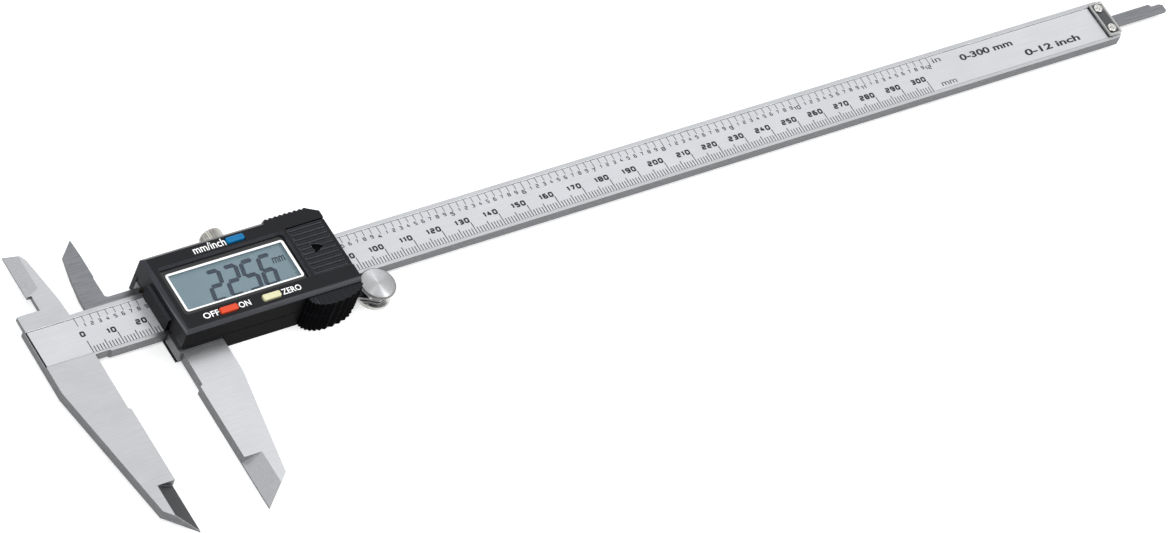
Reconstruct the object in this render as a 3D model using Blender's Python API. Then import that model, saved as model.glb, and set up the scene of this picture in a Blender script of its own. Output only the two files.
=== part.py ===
"""Digital caliper, 300 mm, lying on its back with the display up.

The beam runs along +X, the long outside jaws point to -Y and the short inside jaws to +Y.
Lengths below are millimetres; every mesh is built in millimetres and scaled to metres once.
Two working frames are used. Beam pieces are drawn from the fixed jaw's measuring face, and
slider pieces from the moving jaw's measuring face, with Z = 0 on the front of the beam.
"""
import math

import bmesh
import bpy
from mathutils import Matrix, Vector

MM = 0.001

# ------------------------------------------------------------------ driving dimensions, mm
READING = 22.56             # opening between the outside jaws, as the caliper lies
GAP = 0.3                   # clearance between pieces that touch
STEEL = 3.5                 # thickness of the beam and of both jaws

BEAM_END = 374.55           # far end of the beam, from the fixed measuring face
BEAM_LOW = -1.5             # lower edge of the beam (towards the outside jaws)
BEAM_TOP = 13.5             # upper edge of the beam (towards the inside jaws)
BEAM_MID = (BEAM_LOW + BEAM_TOP) / 2
HEEL_X = -16.1              # left side of the fixed jaw
HEEL_TOP = 17.7             # top of the fixed jaw's block
TRACK_LOW = -0.3            # the front groove that holds the scale strip
TRACK_TOP = 12.1
TRACK_DEEP = 1.0
STRIP_THICK = 0.35
LABEL_THICK = 0.15
ROD_GROOVE = 4.8            # width of the groove in the back of the beam
ROD_GROOVE_DEEP = 1.7

JAW_LENGTH = 62.5           # outside jaw tip below the lower edge's zero line
JAW_STEP = 20.4             # where the lapped measuring face begins
JAW_RELIEF = 0.8
JAW_BACK = 14.5             # outer side of the moving jaw, from its measuring face
BLADE_START = 46.3          # where the thin crossed blade begins
BLADE_WIDE = 5.8
BLADE_EDGE = 0.6            # thickness left at the blade's edge
INSIDE_X = -9.7             # measuring edge of an inside jaw, from its outside jaw's face
INSIDE_TIP = 38.2
HALF_FRONT = 1.6            # thickness of the fixed inside jaw
HALF_BACK = 1.9             # depth where the moving inside jaw begins

BODY_X0 = 0.3               # left and right ends of the housing
BODY_X1 = 59.1
BODY_Y0 = -8.2
BODY_Y1 = 19.4
BODY_TOP = 8.7
BODY_BACK = -5.4            # the plane that the caliper lies on
PARTING = 1.5               # height of the joint between front cover and rear shell
WALL = 1.2
EDGE = 1.1                  # bevel round the front face

CORNER_Y = 17.4             # where the cut corner at the housing's upper right begins
SEAT_Z = BODY_TOP - WALL    # underside of the front cover's face
RECESS = (2.9, 45.3, -2.6, 14.6)            # display opening: x0, x1, y0, y1
HATCH = (46.0, BODY_X1, -2.7, 14.9)         # battery opening: x0, x1, y0, y1
LIP = (-0.8, -0.8, 12.4, 0.5, 5.4)          # scraper over the beam: x0, y0, y1, z0, z1

GRIP_PEAK = 48.0            # the swell under the thumb, on the housing's lower side
GRIP_LEFT = 6.7
GRIP_RIGHT = 10.9
GRIP_SWELL = 3.7
GRIP_TOP = 7.3
GRIP_TEETH = 13
UPPER_GRIP = (41.2, 56.0)   # the shorter row of teeth on the upper side
UPPER_TEETH = 9

FRAME_X0 = 0.2              # ends of the slider frame's rails
FRAME_X1 = 57.5
RAIL_LOW = -6.6             # outer sides of the rails
RAIL_TOP = 17.6
BRIDGE_Z = 1.1              # top of the two bridges that cross over the beam
GIB_THICK = 0.9
LOWER_RAIL_Y = BEAM_LOW - GAP
UPPER_RAIL_Y = BEAM_TOP + 2 * GAP + GIB_THICK

PLATE_TOP = -STEEL - GAP    # plates behind the slider frame
PLATE_THICK = 0.8
PLATE_BACK = PLATE_TOP - PLATE_THICK
PLATE_NOTCH = (46.3, -1.6)  # corner cut from the back plate to clear the roller's bracket
RIVET_X = 6.5

BACK_SCREWS = ((8.0, 16.2), (49.5, 16.2), (20.0, -4.2), (37.0, -4.2))
BRACKET_SCREW = (50.0, -4.2)
COVER_SCREWS = ((3.6, 16.5), (43.8, 16.5), (4.6, -5.3), (43.8, -5.3))
BOARD_SCREWS = ((10.5, 16.2), (38.5, 16.2), (10.5, -5.0), (38.5, -5.0))
STOP_SCREWS = ((BEAM_END - 2.9, BEAM_TOP - 3.4), (BEAM_END - 2.9, BEAM_LOW + 3.6))
GIB_SCREWS = (15.0, 53.8)
BACK_SHANK = 0.9            # shank radii
COVER_SHANK = 0.6
BOARD_SHANK = 0.6
STOP_SHANK = 0.8
GIB_SHANK = 1.0
RIVET_SHANK = 0.8

BUTTON = (5.9, 2.0)         # key cap, along X and along Y
BUTTON_PROUD = 0.6
BUTTON_TRAVEL = 0.4
BUTTONS = {
    "button_mm_inch": (30.0, 16.5, (0.0, 0.24, 0.5)),
    "button_off_on": (16.0, -4.7, (0.85, 0.09, 0.03)),
    "button_zero": (30.2, -4.8, (0.85, 0.78, 0.38)),
}
BOARD_Z = (0.4, 1.2)        # back and front of the circuit board
DOME_TOP = 1.95

RIBS = 10                   # grip ribs on the battery cover
RIB_TOP = 14.05
RIB_PITCH = 1.735
RIB_X0 = 46.7
RIB_X1 = 57.6

ROLLER_X = 67.55
ROLLER_Y = -6.85
ROLLER_RIM = 5.5            # the knurled disc, above the front of the beam
ROLLER_TREAD = 4.95         # the same disc where it runs beside the beam's lower edge
ROLLER_NECK = 3.4
ROLLER_TOP = 1.2
ROLLER_UNDER = -0.5         # underside of the upper disc
ARM_Z = -3.0                # front of the bracket's raised arm, between neck and lower disc
AXLE = 1.4                  # radius of the roller's axle
LOWER_DISC = 5.2            # the axle's head, which is the roller's lower disc

LOCK_X = 29.9
LOCK_Z = -STEEL / 2
LOCK_SHANK = 1.0
LOCK_KNOB = 3.5
LOCK_FAR = 26.4             # outer end of the knurled knob

CELL_RADIUS = 5.8
CELL_X = 51.8
CELL_Y = 6.0

ROUND = 40                  # sides of a visible round piece
SMALL_ROUND = 16            # sides of a small or hidden one


# ------------------------------------------------------------------ scene and materials
def clear_scene():
    for old in list(bpy.data.objects):
        bpy.data.objects.remove(old, do_unlink=True)


def material(name, colour, roughness, metallic=0.0, see_through=0.0):
    made = bpy.data.materials.new(name)
    made.use_nodes = True
    shader = made.node_tree.nodes["Principled BSDF"]
    shader.inputs["Base Color"].default_value = (*colour, 1.0)
    shader.inputs["Roughness"].default_value = roughness
    shader.inputs["Metallic"].default_value = metallic
    shader.inputs["Transmission Weight"].default_value = see_through
    made.diffuse_color = (*colour, 1.0)
    return made


def empty(name, parent, place):
    made = bpy.data.objects.new(name, None)
    bpy.context.collection.objects.link(made)
    made.parent = parent
    made.location = Vector(place) * MM
    return made


# ------------------------------------------------------------------ shapes, in millimetres
def skin(loops):
    """A closed solid over loops of points that run the same way, first to last."""
    shape = bmesh.new()
    rings = [[shape.verts.new(point) for point in loop] for loop in loops]
    shape.faces.new(list(reversed(rings[0])))
    shape.faces.new(rings[-1])
    count = len(rings[0])
    for one, two in zip(rings, rings[1:]):
        for k in range(count):
            n = (k + 1) % count
            shape.faces.new((one[k], one[n], two[n], two[k]))
    bmesh.ops.recalc_face_normals(shape, faces=shape.faces)
    return shape


def loft(rings):
    """A closed solid through outlines (x, y) given at rising heights."""
    return skin([[(x, y, z) for x, y in outline] for outline, z in rings])


def prism(outline, z0, z1):
    return loft([(outline, z0), (outline, z1)])


def block(x0, x1, y0, y1, z0, z1):
    return prism([(x0, y0), (x1, y0), (x1, y1), (x0, y1)], z0, z1)


def between(plan, low, high):
    """A closed solid over a plan outline, from the height low(x) up to high(x)."""
    return skin([[(x, y, low(x)) for x, y in plan], [(x, y, high(x)) for x, y in plan]])


def turned(profile, sides=SMALL_ROUND, axis="Z", place=(0, 0, 0)):
    """A solid of revolution from (radius, height) points, on the given axis."""
    shape = bmesh.new()
    rings = []
    for radius, height in profile:
        if radius == 0:
            rings.append([shape.verts.new((0, 0, height))])
            continue
        ring = []
        for k in range(sides):
            a = 2 * math.pi * k / sides
            ring.append(shape.verts.new((radius * math.cos(a), radius * math.sin(a), height)))
        rings.append(ring)
    for one, two in zip(rings, rings[1:]):
        for k in range(sides):
            n = (k + 1) % sides
            if len(one) == 1:
                shape.faces.new((one[0], two[n], two[k]))
            elif len(two) == 1:
                shape.faces.new((one[k], one[n], two[0]))
            else:
                shape.faces.new((one[k], one[n], two[n], two[k]))
    if len(rings[0]) > 1:
        shape.faces.new(rings[0])
    if len(rings[-1]) > 1:
        shape.faces.new(rings[-1])
    bmesh.ops.recalc_face_normals(shape, faces=shape.faces)
    if axis == "Y":
        shape.transform(Matrix.Rotation(-math.pi / 2, 4, "X"))
    if axis == "X":
        shape.transform(Matrix.Rotation(math.pi / 2, 4, "Y"))
    shape.transform(Matrix.Translation(place))
    return shape


def pin(x, y, z0, z1, radius, sides=SMALL_ROUND):
    return turned([(radius, z0), (radius, z1)], sides, "Z", (x, y, 0))


def rounded(x0, x1, y0, y1, radius, steps=4):
    """Outline of a rectangle with round corners."""
    points = []
    corners = ((x1, y0, -90), (x1, y1, 0), (x0, y1, 90), (x0, y0, 180))
    for x, y, start in corners:
        cx = x - radius if x == x1 else x + radius
        cy = y - radius if y == y1 else y + radius
        for k in range(steps + 1):
            a = math.radians(start + 90 * k / steps)
            points.append((cx + radius * math.cos(a), cy + radius * math.sin(a)))
    return points


def piece(name, shape, finish, parent):
    """One named sub-part, from a shape in millimetres."""
    shape.transform(Matrix.Scale(MM, 4))
    mesh = bpy.data.meshes.new(name)
    shape.to_mesh(mesh)
    shape.free()
    made = bpy.data.objects.new(name, mesh)
    bpy.context.collection.objects.link(made)
    made.parent = parent
    mesh.materials.append(finish)
    return made


def smooth(made, angle=35):
    made.data.shade_smooth()
    made.data.set_sharp_from_angle(angle=math.radians(angle))


def tool(made, shape, operation="DIFFERENCE"):
    """Cut a shape from a piece, or weld it on, with an exact Boolean."""
    helper = piece(made.name + "_tool", shape, made.data.materials[0], made.parent)
    helper.hide_render = True
    helper.display_type = "WIRE"
    step = made.modifiers.new(operation.title(), "BOOLEAN")
    step.operation = operation
    step.solver = "EXACT"
    step.object = helper


def weld(made, *shapes):
    for shape in shapes:
        tool(made, shape, "UNION")


def cut(made, *shapes):
    for shape in shapes:
        tool(made, shape)


# ------------------------------------------------------------------ beam and fixed jaws
def make_beam(steel, parent):
    outline = [
        (BEAM_END, BEAM_LOW + 1.5), (BEAM_END, BEAM_TOP - 1.5), (BEAM_END - 1.5, BEAM_TOP),
        (-1.2, BEAM_TOP), (-1.65, 19.8), (-4.0, 34.6), (-5.0, 36.4), (INSIDE_X, INSIDE_TIP),
        (INSIDE_X, 22.95), (-8.6, 22.95), (-8.6, HEEL_TOP), (HEEL_X, HEEL_TOP),
        (HEEL_X - 0.2, -9.6), (-8.45, -54.35), (0, -JAW_LENGTH), (0, -JAW_STEP - 0.5),
        (-JAW_RELIEF, -JAW_STEP), (-JAW_RELIEF, BEAM_LOW + 0.6), (3.9, BEAM_LOW + 0.6),
        (4.5, BEAM_LOW), (BEAM_END - 1.5, BEAM_LOW),
    ]
    beam = piece("beam", prism(outline, -STEEL, 0), steel, parent)
    far = BEAM_END + 5
    inside_root = 23.0
    cut(beam, block(HEEL_X - 5, far, TRACK_LOW, TRACK_TOP, -TRACK_DEEP, 5))
    half = ROD_GROOVE / 2
    cut(beam, block(1.0, far, BEAM_MID - half, BEAM_MID + half, -9, ROD_GROOVE_DEEP - STEEL))
    cut(beam, block(HEEL_X - 5, 0.5, BEAM_TOP, 60, -9, -HALF_FRONT))
    cut(beam, blade_bevel(-1))
    ridge = -5.6
    slope = 1.2 / (ridge - INSIDE_X)
    cut(beam, between([(-10, inside_root), (ridge, inside_root + 1.6), (ridge, 41), (-10, 41)],
                      lambda x: slope * (x - ridge), lambda x: 5))
    for x, y in STOP_SCREWS:
        cut(beam, pin(x, y, -STEEL + 1.0, 1, STOP_SHANK + GAP))
    return beam


def blade_bevel(side):
    """The slope ground into the front of an outside jaw's tip, down to its measuring edge.

    side is -1 on the fixed jaw, whose steel lies at -X of its face, and +1 on the moving one.
    """
    deep = STEEL - BLADE_EDGE
    x0, x1 = sorted((-0.4 * side, BLADE_WIDE * side))
    y0 = -JAW_LENGTH - 5
    plan = [(x0, y0), (x1, y0), (x1, -BLADE_START), (x0, -BLADE_START)]
    return between(plan, lambda x: -deep * (1 - side * x / BLADE_WIDE), lambda x: 5)


def make_scale(strip_finish, label_finish, plate_finish, screw_finish, parent):
    low = TRACK_LOW + GAP
    top = TRACK_TOP - GAP
    end = BEAM_END - 5.6
    floor = -TRACK_DEEP + GAP
    piece("scale_circuit_strip", block(HEEL_X + 0.5, end, low, top, floor, floor + STRIP_THICK),
          strip_finish, parent)
    base = floor + STRIP_THICK + GAP
    piece("scale_label", block(HEEL_X + 0.2, end, low, top, base, base + LABEL_THICK),
          label_finish, parent)
    outline = rounded(BEAM_END - 5.2, BEAM_END - 0.3, low - 0.4, top + 0.7, 0.5, 3)
    plate = piece("beam_stop_plate", prism(outline, GAP, 1.1), plate_finish, parent)
    head = 1.55
    for k, (x, y) in enumerate(STOP_SCREWS):
        cut(plate, pin(x, y, -3, 3, STOP_SHANK + GAP), pin(x, y, 0.7, 3, head + GAP))
        profile = [(STOP_SHANK, -STEEL + 1.3), (STOP_SHANK, 1.0), (head, 1.0), (head, 1.25), (1.2, 1.45)]
        shape = turned(profile, SMALL_ROUND, "Z", (x, y, 0))
        screw = piece(f"stop_plate_screw_{k + 1}", shape, screw_finish, parent)
        cut(screw, block(x - 1.0, x + 1.0, y - 0.16, y + 0.16, 1.2, 3),
            block(x - 0.16, x + 0.16, y - 1.0, y + 1.0, 1.2, 3))
        smooth(screw)


# ------------------------------------------------------------------ slider frame
def make_slider_frame(steel, parent):
    lower = LOWER_RAIL_Y
    upper = UPPER_RAIL_Y
    jaw = [
        (FRAME_X1, RAIL_LOW), (FRAME_X1, lower), (0, lower), (0, -8.9), (1.0, -9.1),
        (0.9, -JAW_STEP), (0, -JAW_STEP - 0.5), (0, -JAW_LENGTH), (8.9, -54.7),
        (JAW_BACK - 0.1, -20.6), (JAW_BACK, -18.8), (JAW_BACK, RAIL_LOW),
    ]
    frame = piece("slider_frame", prism(jaw, -STEEL, 0), steel, parent)
    cut(frame, blade_bevel(1))
    weld(frame, block(4.0, FRAME_X1 - 0.05, RAIL_LOW + 0.05, lower - 0.05, -1, 0))
    weld(frame, block(FRAME_X0, FRAME_X1, upper, RAIL_TOP, -STEEL, 0))
    inside = [
        (0.6, 13.8), (0.6, RAIL_TOP - 0.1), (0.15, 16.6), (-9.0, 16.6), (-9.9, 17.1), (-10.0, 23.6),
        (INSIDE_X, 24.2), (INSIDE_X, 32.0), (-10.0, 37.9), (-14.5, 33.6), (-16.2, 25.8),
        (-17.25, 18.4), (-17.25, 13.8),
    ]
    weld(frame, prism(inside, -STEEL + 0.02, -HALF_BACK))
    for x0, x1 in ((1.4, 6.0), (FRAME_X1 - 4.5, FRAME_X1 - 0.1)):
        weld(frame, block(x0, x1, RAIL_LOW + 0.1, RAIL_TOP - 0.1, GAP, BRIDGE_Z),
             block(x0 + 0.05, x1 - 0.05, upper + 0.1, RAIL_TOP - 0.2, -1, BRIDGE_Z - 0.1),
             block(max(x0 + 0.05, 4.05), x1 - 0.05, RAIL_LOW + 0.2, lower - 0.1, -1, BRIDGE_Z - 0.1))
    ridge = -13.4
    slope = 1.1 / (INSIDE_X - ridge)
    cut(frame, between([(ridge, 25.5), (-9.3, 24.3), (-9.3, 41), (ridge, 41)],
                       lambda x: -STEEL - 5, lambda x: -STEEL + slope * (x - ridge)))
    for x, y in BACK_SCREWS + (BRACKET_SCREW,):
        cut(frame, pin(x, y, -STEEL - 1, -1.2, BACK_SHANK + GAP))
    for x, y in COVER_SCREWS:
        cut(frame, pin(x, y, -STEEL - 1, 3, COVER_SHANK + GAP))
    for x, y in BOARD_SCREWS:
        cut(frame, pin(x, y, -0.9, 3, BOARD_SHANK + GAP))
    for x in GIB_SCREWS:
        cut(frame, side_hole(x, GIB_SHANK + GAP))
    cut(frame, side_hole(LOCK_X, LOCK_SHANK + GAP))
    return frame


def side_hole(x, radius):
    """A hole along Y through the upper rail, half way up the steel."""
    return turned([(radius, BEAM_TOP - 1.0), (radius, BODY_Y1 + 5)], SMALL_ROUND, "Y", (x, 0, LOCK_Z))


def make_gib(strip_finish, screw_finish, parent):
    x0 = FRAME_X0 + 1.5
    x1 = FRAME_X1 - 1.5
    y0 = BEAM_TOP + GAP
    shape = block(x0, x1, y0, y0 + GIB_THICK, -STEEL + 0.2, -0.2)
    piece("gib_strip", shape, strip_finish, parent)
    for k, x in enumerate(GIB_SCREWS):
        tip = y0 + GIB_THICK + GAP
        profile = [(0.6, tip), (GIB_SHANK, tip + 0.4), (GIB_SHANK, RAIL_TOP - 0.2)]
        shape = turned(profile, SMALL_ROUND, "Y", (x, 0, LOCK_Z))
        smooth(piece(f"gib_set_screw_{k + 1}", shape, screw_finish, parent))


def make_lock(pad_finish, knob_finish, parent):
    pad_y = BEAM_TOP + GIB_THICK + 0.7
    tip = pad_y + 0.8 + GAP
    collar = BODY_Y1 + 0.5
    knob_y = collar + 0.9
    pad = turned([(LOCK_SHANK, pad_y), (LOCK_SHANK, tip - GAP)], SMALL_ROUND, "Y")
    smooth(piece("lock_pad", pad, pad_finish, parent))
    profile = [(0.7, tip), (LOCK_SHANK, tip + 0.3), (LOCK_SHANK, collar), (2.4, collar), (2.4, knob_y),
               (LOCK_KNOB - 0.4, knob_y), (LOCK_KNOB, knob_y + 0.4), (LOCK_KNOB, LOCK_FAR - 0.5),
               (LOCK_KNOB - 0.5, LOCK_FAR)]
    smooth(piece("lock_screw", turned(profile, ROUND, "Y"), knob_finish, parent))


def back_screw(x, y, shank, tip):
    """A low pan-head screw put in from the back."""
    head = shank + 0.7
    profile = [(head - 0.4, BODY_BACK + 0.1), (head, BODY_BACK + 0.25), (head, BODY_BACK + 0.5),
               (shank, BODY_BACK + 0.5), (shank, tip)]
    return turned(profile, SMALL_ROUND, "Z", (x, y, 0))


def make_back(plate_finish, rod_finish, screw_finish, parent):
    x0 = FRAME_X0 + 1.6
    x1 = FRAME_X1 - 1
    y0 = RAIL_LOW + 0.2
    y1 = RAIL_TOP + 0.3
    notch_x = PLATE_NOTCH[0] - GAP
    notch_y = PLATE_NOTCH[1] + GAP
    outline = [(x0, y0), (notch_x, y0), (notch_x, notch_y), (x1, notch_y), (x1, y1), (x0, y1)]
    plate = piece("slider_back_plate", prism(outline, PLATE_BACK, PLATE_TOP), plate_finish, parent)
    holes = [(x, y, BACK_SHANK) for x, y in BACK_SCREWS]
    holes += [(x, y, COVER_SHANK) for x, y in COVER_SCREWS]
    holes.append((RIVET_X, BEAM_MID, RIVET_SHANK))
    for x, y, radius in holes:
        cut(plate, pin(x, y, PLATE_BACK - 1, PLATE_TOP + 1, radius + GAP))
    for k, (x, y) in enumerate(BACK_SCREWS):
        shape = back_screw(x, y, BACK_SHANK, -1.6)
        smooth(piece(f"back_plate_screw_{k + 1}", shape, screw_finish, parent))
    for k, (x, y) in enumerate(COVER_SCREWS):
        shape = back_screw(x, y, COVER_SHANK, 4.5)
        smooth(piece(f"cover_screw_{k + 1}", shape, screw_finish, parent))
    make_depth_rod(rod_finish, screw_finish, parent)


def make_depth_rod(rod_finish, rivet_finish, parent):
    x0 = 4.0
    x1 = BEAM_END
    half = ROD_GROOVE / 2 - 0.4
    low = BEAM_MID - half
    high = BEAM_MID + half
    outline = [(x0, low), (x1, low), (x1, BEAM_MID + 0.4), (x1 - 1.2, high - 1.0),
               (x1 - 4.2, high - 1.0), (x1 - 4.8, high), (x0, high)]
    front = -STEEL + ROD_GROOVE_DEEP - GAP
    rod = piece("depth_rod", prism(outline, -STEEL + 0.1, front), rod_finish, parent)
    cut(rod, pin(RIVET_X, BEAM_MID, -9, front - 0.45, RIVET_SHANK + GAP))
    shoulder = PLATE_BACK - GAP
    profile = [(1.5, BODY_BACK + 0.1), (1.5, shoulder), (RIVET_SHANK, shoulder), (RIVET_SHANK, front - 0.75)]
    rivet = turned(profile, SMALL_ROUND, "Z", (RIVET_X, BEAM_MID, 0))
    smooth(piece("depth_rod_rivet", rivet, rivet_finish, parent))


# ------------------------------------------------------------------ thumb roller
def make_roller(bracket_finish, roller_finish, screw_finish, parent, roller_parent):
    x0 = PLATE_NOTCH[0]
    x1 = BODY_X1 + 1.1
    y0 = RAIL_LOW + 0.2
    y1 = -2.2
    foot = block(x0, x1, y0, y1, PLATE_BACK, PLATE_TOP)
    bracket = piece("roller_bracket", foot, bracket_finish, parent)
    arm_back = ARM_Z - PLATE_THICK
    arm = [(BODY_X1 + GAP, y0 + 0.1), (x1, y0 + 0.1), (ROLLER_X - 3.0, ROLLER_Y - 1.6)]
    for k in range(13):
        a = math.radians(-90 + 15 * k)
        arm.append((ROLLER_X + ROLLER_NECK * math.cos(a), ROLLER_Y + ROLLER_NECK * math.sin(a)))
    arm += [(x1 + 1.0, y1 - 0.1), (BODY_X1 + GAP, y1 - 0.1)]
    weld(bracket, prism(arm, arm_back - 0.01, ARM_Z))
    cut(bracket, pin(ROLLER_X, ROLLER_Y, -9, 0, AXLE + GAP), pin(*BRACKET_SCREW, -9, 0, BACK_SHANK + GAP))
    shape = back_screw(*BRACKET_SCREW, BACK_SHANK, -1.6)
    smooth(piece("bracket_screw", shape, screw_finish, parent))
    disc = arm_back - GAP
    axle = [(LOWER_DISC - 0.3, BODY_BACK), (LOWER_DISC, BODY_BACK + 0.2), (LOWER_DISC, disc - 0.15),
            (LOWER_DISC - 0.15, disc), (AXLE, disc), (AXLE, -0.9)]
    shape = turned(axle, ROUND, "Z", (ROLLER_X, ROLLER_Y, 0))
    smooth(piece("roller_axle", shape, screw_finish, parent))
    bore = AXLE + GAP
    foot_z = ARM_Z + GAP
    spool = [(0, ROLLER_TOP), (ROLLER_RIM - 0.15, ROLLER_TOP), (ROLLER_RIM, ROLLER_TOP - 0.15),
             (ROLLER_RIM, 0.25), (ROLLER_TREAD, 0.25), (ROLLER_TREAD, ROLLER_UNDER),
             (ROLLER_NECK, ROLLER_UNDER), (ROLLER_NECK, foot_z), (bore, foot_z), (bore, -0.6), (0, -0.6)]
    smooth(piece("thumb_roller", turned(spool, ROUND), roller_finish, roller_parent))


# ------------------------------------------------------------------ housing
def along(curve, teeth, tip):
    """Points of a toothed edge along a curve: a valley and a tip for each tooth."""
    points = []
    steps = 2 * teeth
    for k in range(steps + 1):
        t = k / steps
        here = Vector(curve(t))
        ahead = Vector(curve(min(1.0, t + 0.01)))
        behind = Vector(curve(max(0.0, t - 0.01)))
        way = (ahead - behind).normalized()
        out = Vector((way.y, -way.x))
        points.append(tuple(here + out * (tip if k % 2 else 0.0)))
    return points


def lower_grip(t):
    """The swell under the right thumb: steep on its left, long on its right."""
    a = math.pi * t
    reach = GRIP_LEFT if a < math.pi / 2 else GRIP_RIGHT
    return (GRIP_PEAK - reach * math.cos(a), BODY_Y0 - 0.1 - GRIP_SWELL * math.sin(a))


def upper_grip(t):
    x0, x1 = UPPER_GRIP
    return (x1 + (x0 - x1) * t, BODY_Y1 + 0.25 + 0.15 * math.sin(math.pi * t))


def housing_outline(swell, inset=0.0):
    """The housing seen from the front; inset pulls its bevelled sides in."""
    x0 = BODY_X0 + inset
    y0 = BODY_Y0 + inset
    y1 = BODY_Y1 - inset
    points = [(x0, y0)]
    if swell:
        points += along(lower_grip, GRIP_TEETH, 0.5)
    points += [(BODY_X1, y0), (BODY_X1, CORNER_Y)]
    grip = along(upper_grip, UPPER_TEETH, 0.55)
    points += [(x, y - 0.4 * inset) for x, y in grip]
    points += [(UPPER_GRIP[0] - 0.4, y1), (x0, y1)]
    return points


def make_front_cover(finish, parent):
    bottom = PARTING + GAP / 2
    shape = loft([(housing_outline(False), bottom), (housing_outline(False), BODY_TOP - EDGE),
                  (housing_outline(False, EDGE), BODY_TOP)])
    cover = piece("front_cover", shape, finish, parent)
    y0 = BODY_Y0 + 0.5
    swell = [(GRIP_PEAK - GRIP_LEFT, y0), *along(lower_grip, GRIP_TEETH, 0.5), (GRIP_PEAK + GRIP_RIGHT, y0)]
    weld(cover, prism(swell, bottom + 0.01, GRIP_TOP))
    cut(cover, block(BODY_X0 + WALL, BODY_X1 - WALL, BODY_Y0 + WALL, BODY_Y1 - WALL, 0, SEAT_Z))
    lip_x, lip_y0, lip_y1, lip_z0, lip_z1 = LIP
    weld(cover, block(lip_x, 0.9, lip_y0, lip_y1, lip_z0, lip_z1),
         block(BODY_X0 + 0.02, 1.1, lip_y1 - 0.4, 17.5, 0.45, bottom + 0.4))
    x0, x1, y0, y1 = RECESS
    cut(cover, loft([(rounded(x0 + 0.5, x1 - 0.5, y0 + 0.5, y1 - 0.5, 0.9), SEAT_Z - 0.05),
                     (rounded(x0, x1, y0, y1, 1.2), BODY_TOP + 0.05)]))
    for x, y, _ in BUTTONS.values():
        wide = BUTTON[0] / 2 + GAP
        tall = BUTTON[1] / 2 + GAP
        cut(cover, prism(rounded(x - wide, x + wide, y - tall, y + tall, 0.8), SEAT_Z - 1, 10))
    hx0, hx1, hy0, hy1 = HATCH
    cut(cover, block(hx0, hx1 + 1, hy0, hy1, SEAT_Z - 0.5, 10),
        block(BODY_X1 - WALL - 0.5, BODY_X1 + 1, hy0 - 1.0, hy1 + 1.0, 6.0, SEAT_Z - 0.02))
    weld(cover, block(hx0, BODY_X1 - WALL + 0.3, BODY_Y0 + 0.6, hy0 - 0.1, 5.0, 6.0),
         block(hx0, BODY_X1 - WALL + 0.3, hy1 + 0.1, BODY_Y1 - 0.6, 5.0, 6.0))
    for x, y in COVER_SCREWS:
        weld(cover, pin(x, y, bottom + 0.1, SEAT_Z + 0.3, 1.3))
    for x, y in COVER_SCREWS:
        cut(cover, pin(x, y, 0, 5.5, COVER_SHANK + GAP))
    return cover


def make_rear_shell(finish, parent):
    top = PARTING - GAP / 2
    shell = piece("rear_shell", prism(housing_outline(True), BODY_BACK, top), finish, parent)
    cut(shell, block(BODY_X0 + WALL, BODY_X1 - WALL, BODY_Y0 + WALL, BODY_Y1 - WALL, BODY_BACK - 1, 3))
    weld(shell, block(BODY_X0 + 0.3, BODY_X0 + 1.5, BODY_Y0 + 0.5, BODY_Y1 - 0.5, BODY_BACK, -4.9),
         block(BODY_X1 - 1.5, BODY_X1 - 0.3, BODY_Y0 + 0.5, BODY_Y1 - 0.5, BODY_BACK, -4.9))
    cut(shell, block(-5, BODY_X0 + WALL + 0.2, BODY_Y0 - 5, RAIL_TOP + GAP, -4.88, 3),
        block(-5, JAW_BACK + GAP, BODY_Y0 - 5, 0, PLATE_TOP, GAP),
        block(BODY_X1 - 3, BODY_X1 + 3, BEAM_LOW - GAP, BEAM_TOP + GAP, -4.87, 0.45),
        block(BODY_X1 - 3, BODY_X1 + 3, -14, BEAM_LOW, -4.86, -STEEL),
        side_hole(LOCK_X, LOCK_SHANK + GAP))
    return shell


# ------------------------------------------------------------------ display and electronics
def make_display(window, glass, rubber, board_finish, dome_finish, screw_finish, parent):
    x0, x1, y0, y1 = RECESS
    under = SEAT_Z - GAP
    piece("display_window", block(x0 - 0.6, x1 + 0.4, y0 - 0.3, y1 + 0.3, under - 0.9, under),
          window, parent)
    piece("lcd_glass", block(x0 + 0.7, x1 - 0.5, y0 + 1.0, y1 - 1.0, under - 2.9, under - 1.2),
          glass, parent)
    over = BOARD_Z[1] + GAP
    piece("zebra_connector", block(8.0, 41.0, 11.6, 13.2, over, under - 3.2), rubber, parent)
    board = piece("circuit_board", block(6.5, 52.5, -6.4, 17.8, *BOARD_Z), board_finish, parent)
    for x, y in BOARD_SCREWS + COVER_SCREWS[1::2]:
        cut(board, pin(x, y, 0, 3, BOARD_SHANK + GAP))
    for k, (x, y) in enumerate(BOARD_SCREWS):
        profile = [(BOARD_SHANK, -0.7), (BOARD_SHANK, over), (1.1, over), (1.1, 1.9), (0.7, 2.05)]
        shape = turned(profile, 12, "Z", (x, y, 0))
        smooth(piece(f"board_screw_{k + 1}", shape, screw_finish, parent))
    for name, (x, y, _) in BUTTONS.items():
        profile = [(1.5, over), (1.5, DOME_TOP - 0.3), (1.1, DOME_TOP - 0.1), (0.4, DOME_TOP)]
        shape = turned(profile, SMALL_ROUND, "Z", (x, y, 0))
        smooth(piece(name.replace("button", "switch_dome"), shape, dome_finish, parent))


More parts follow.
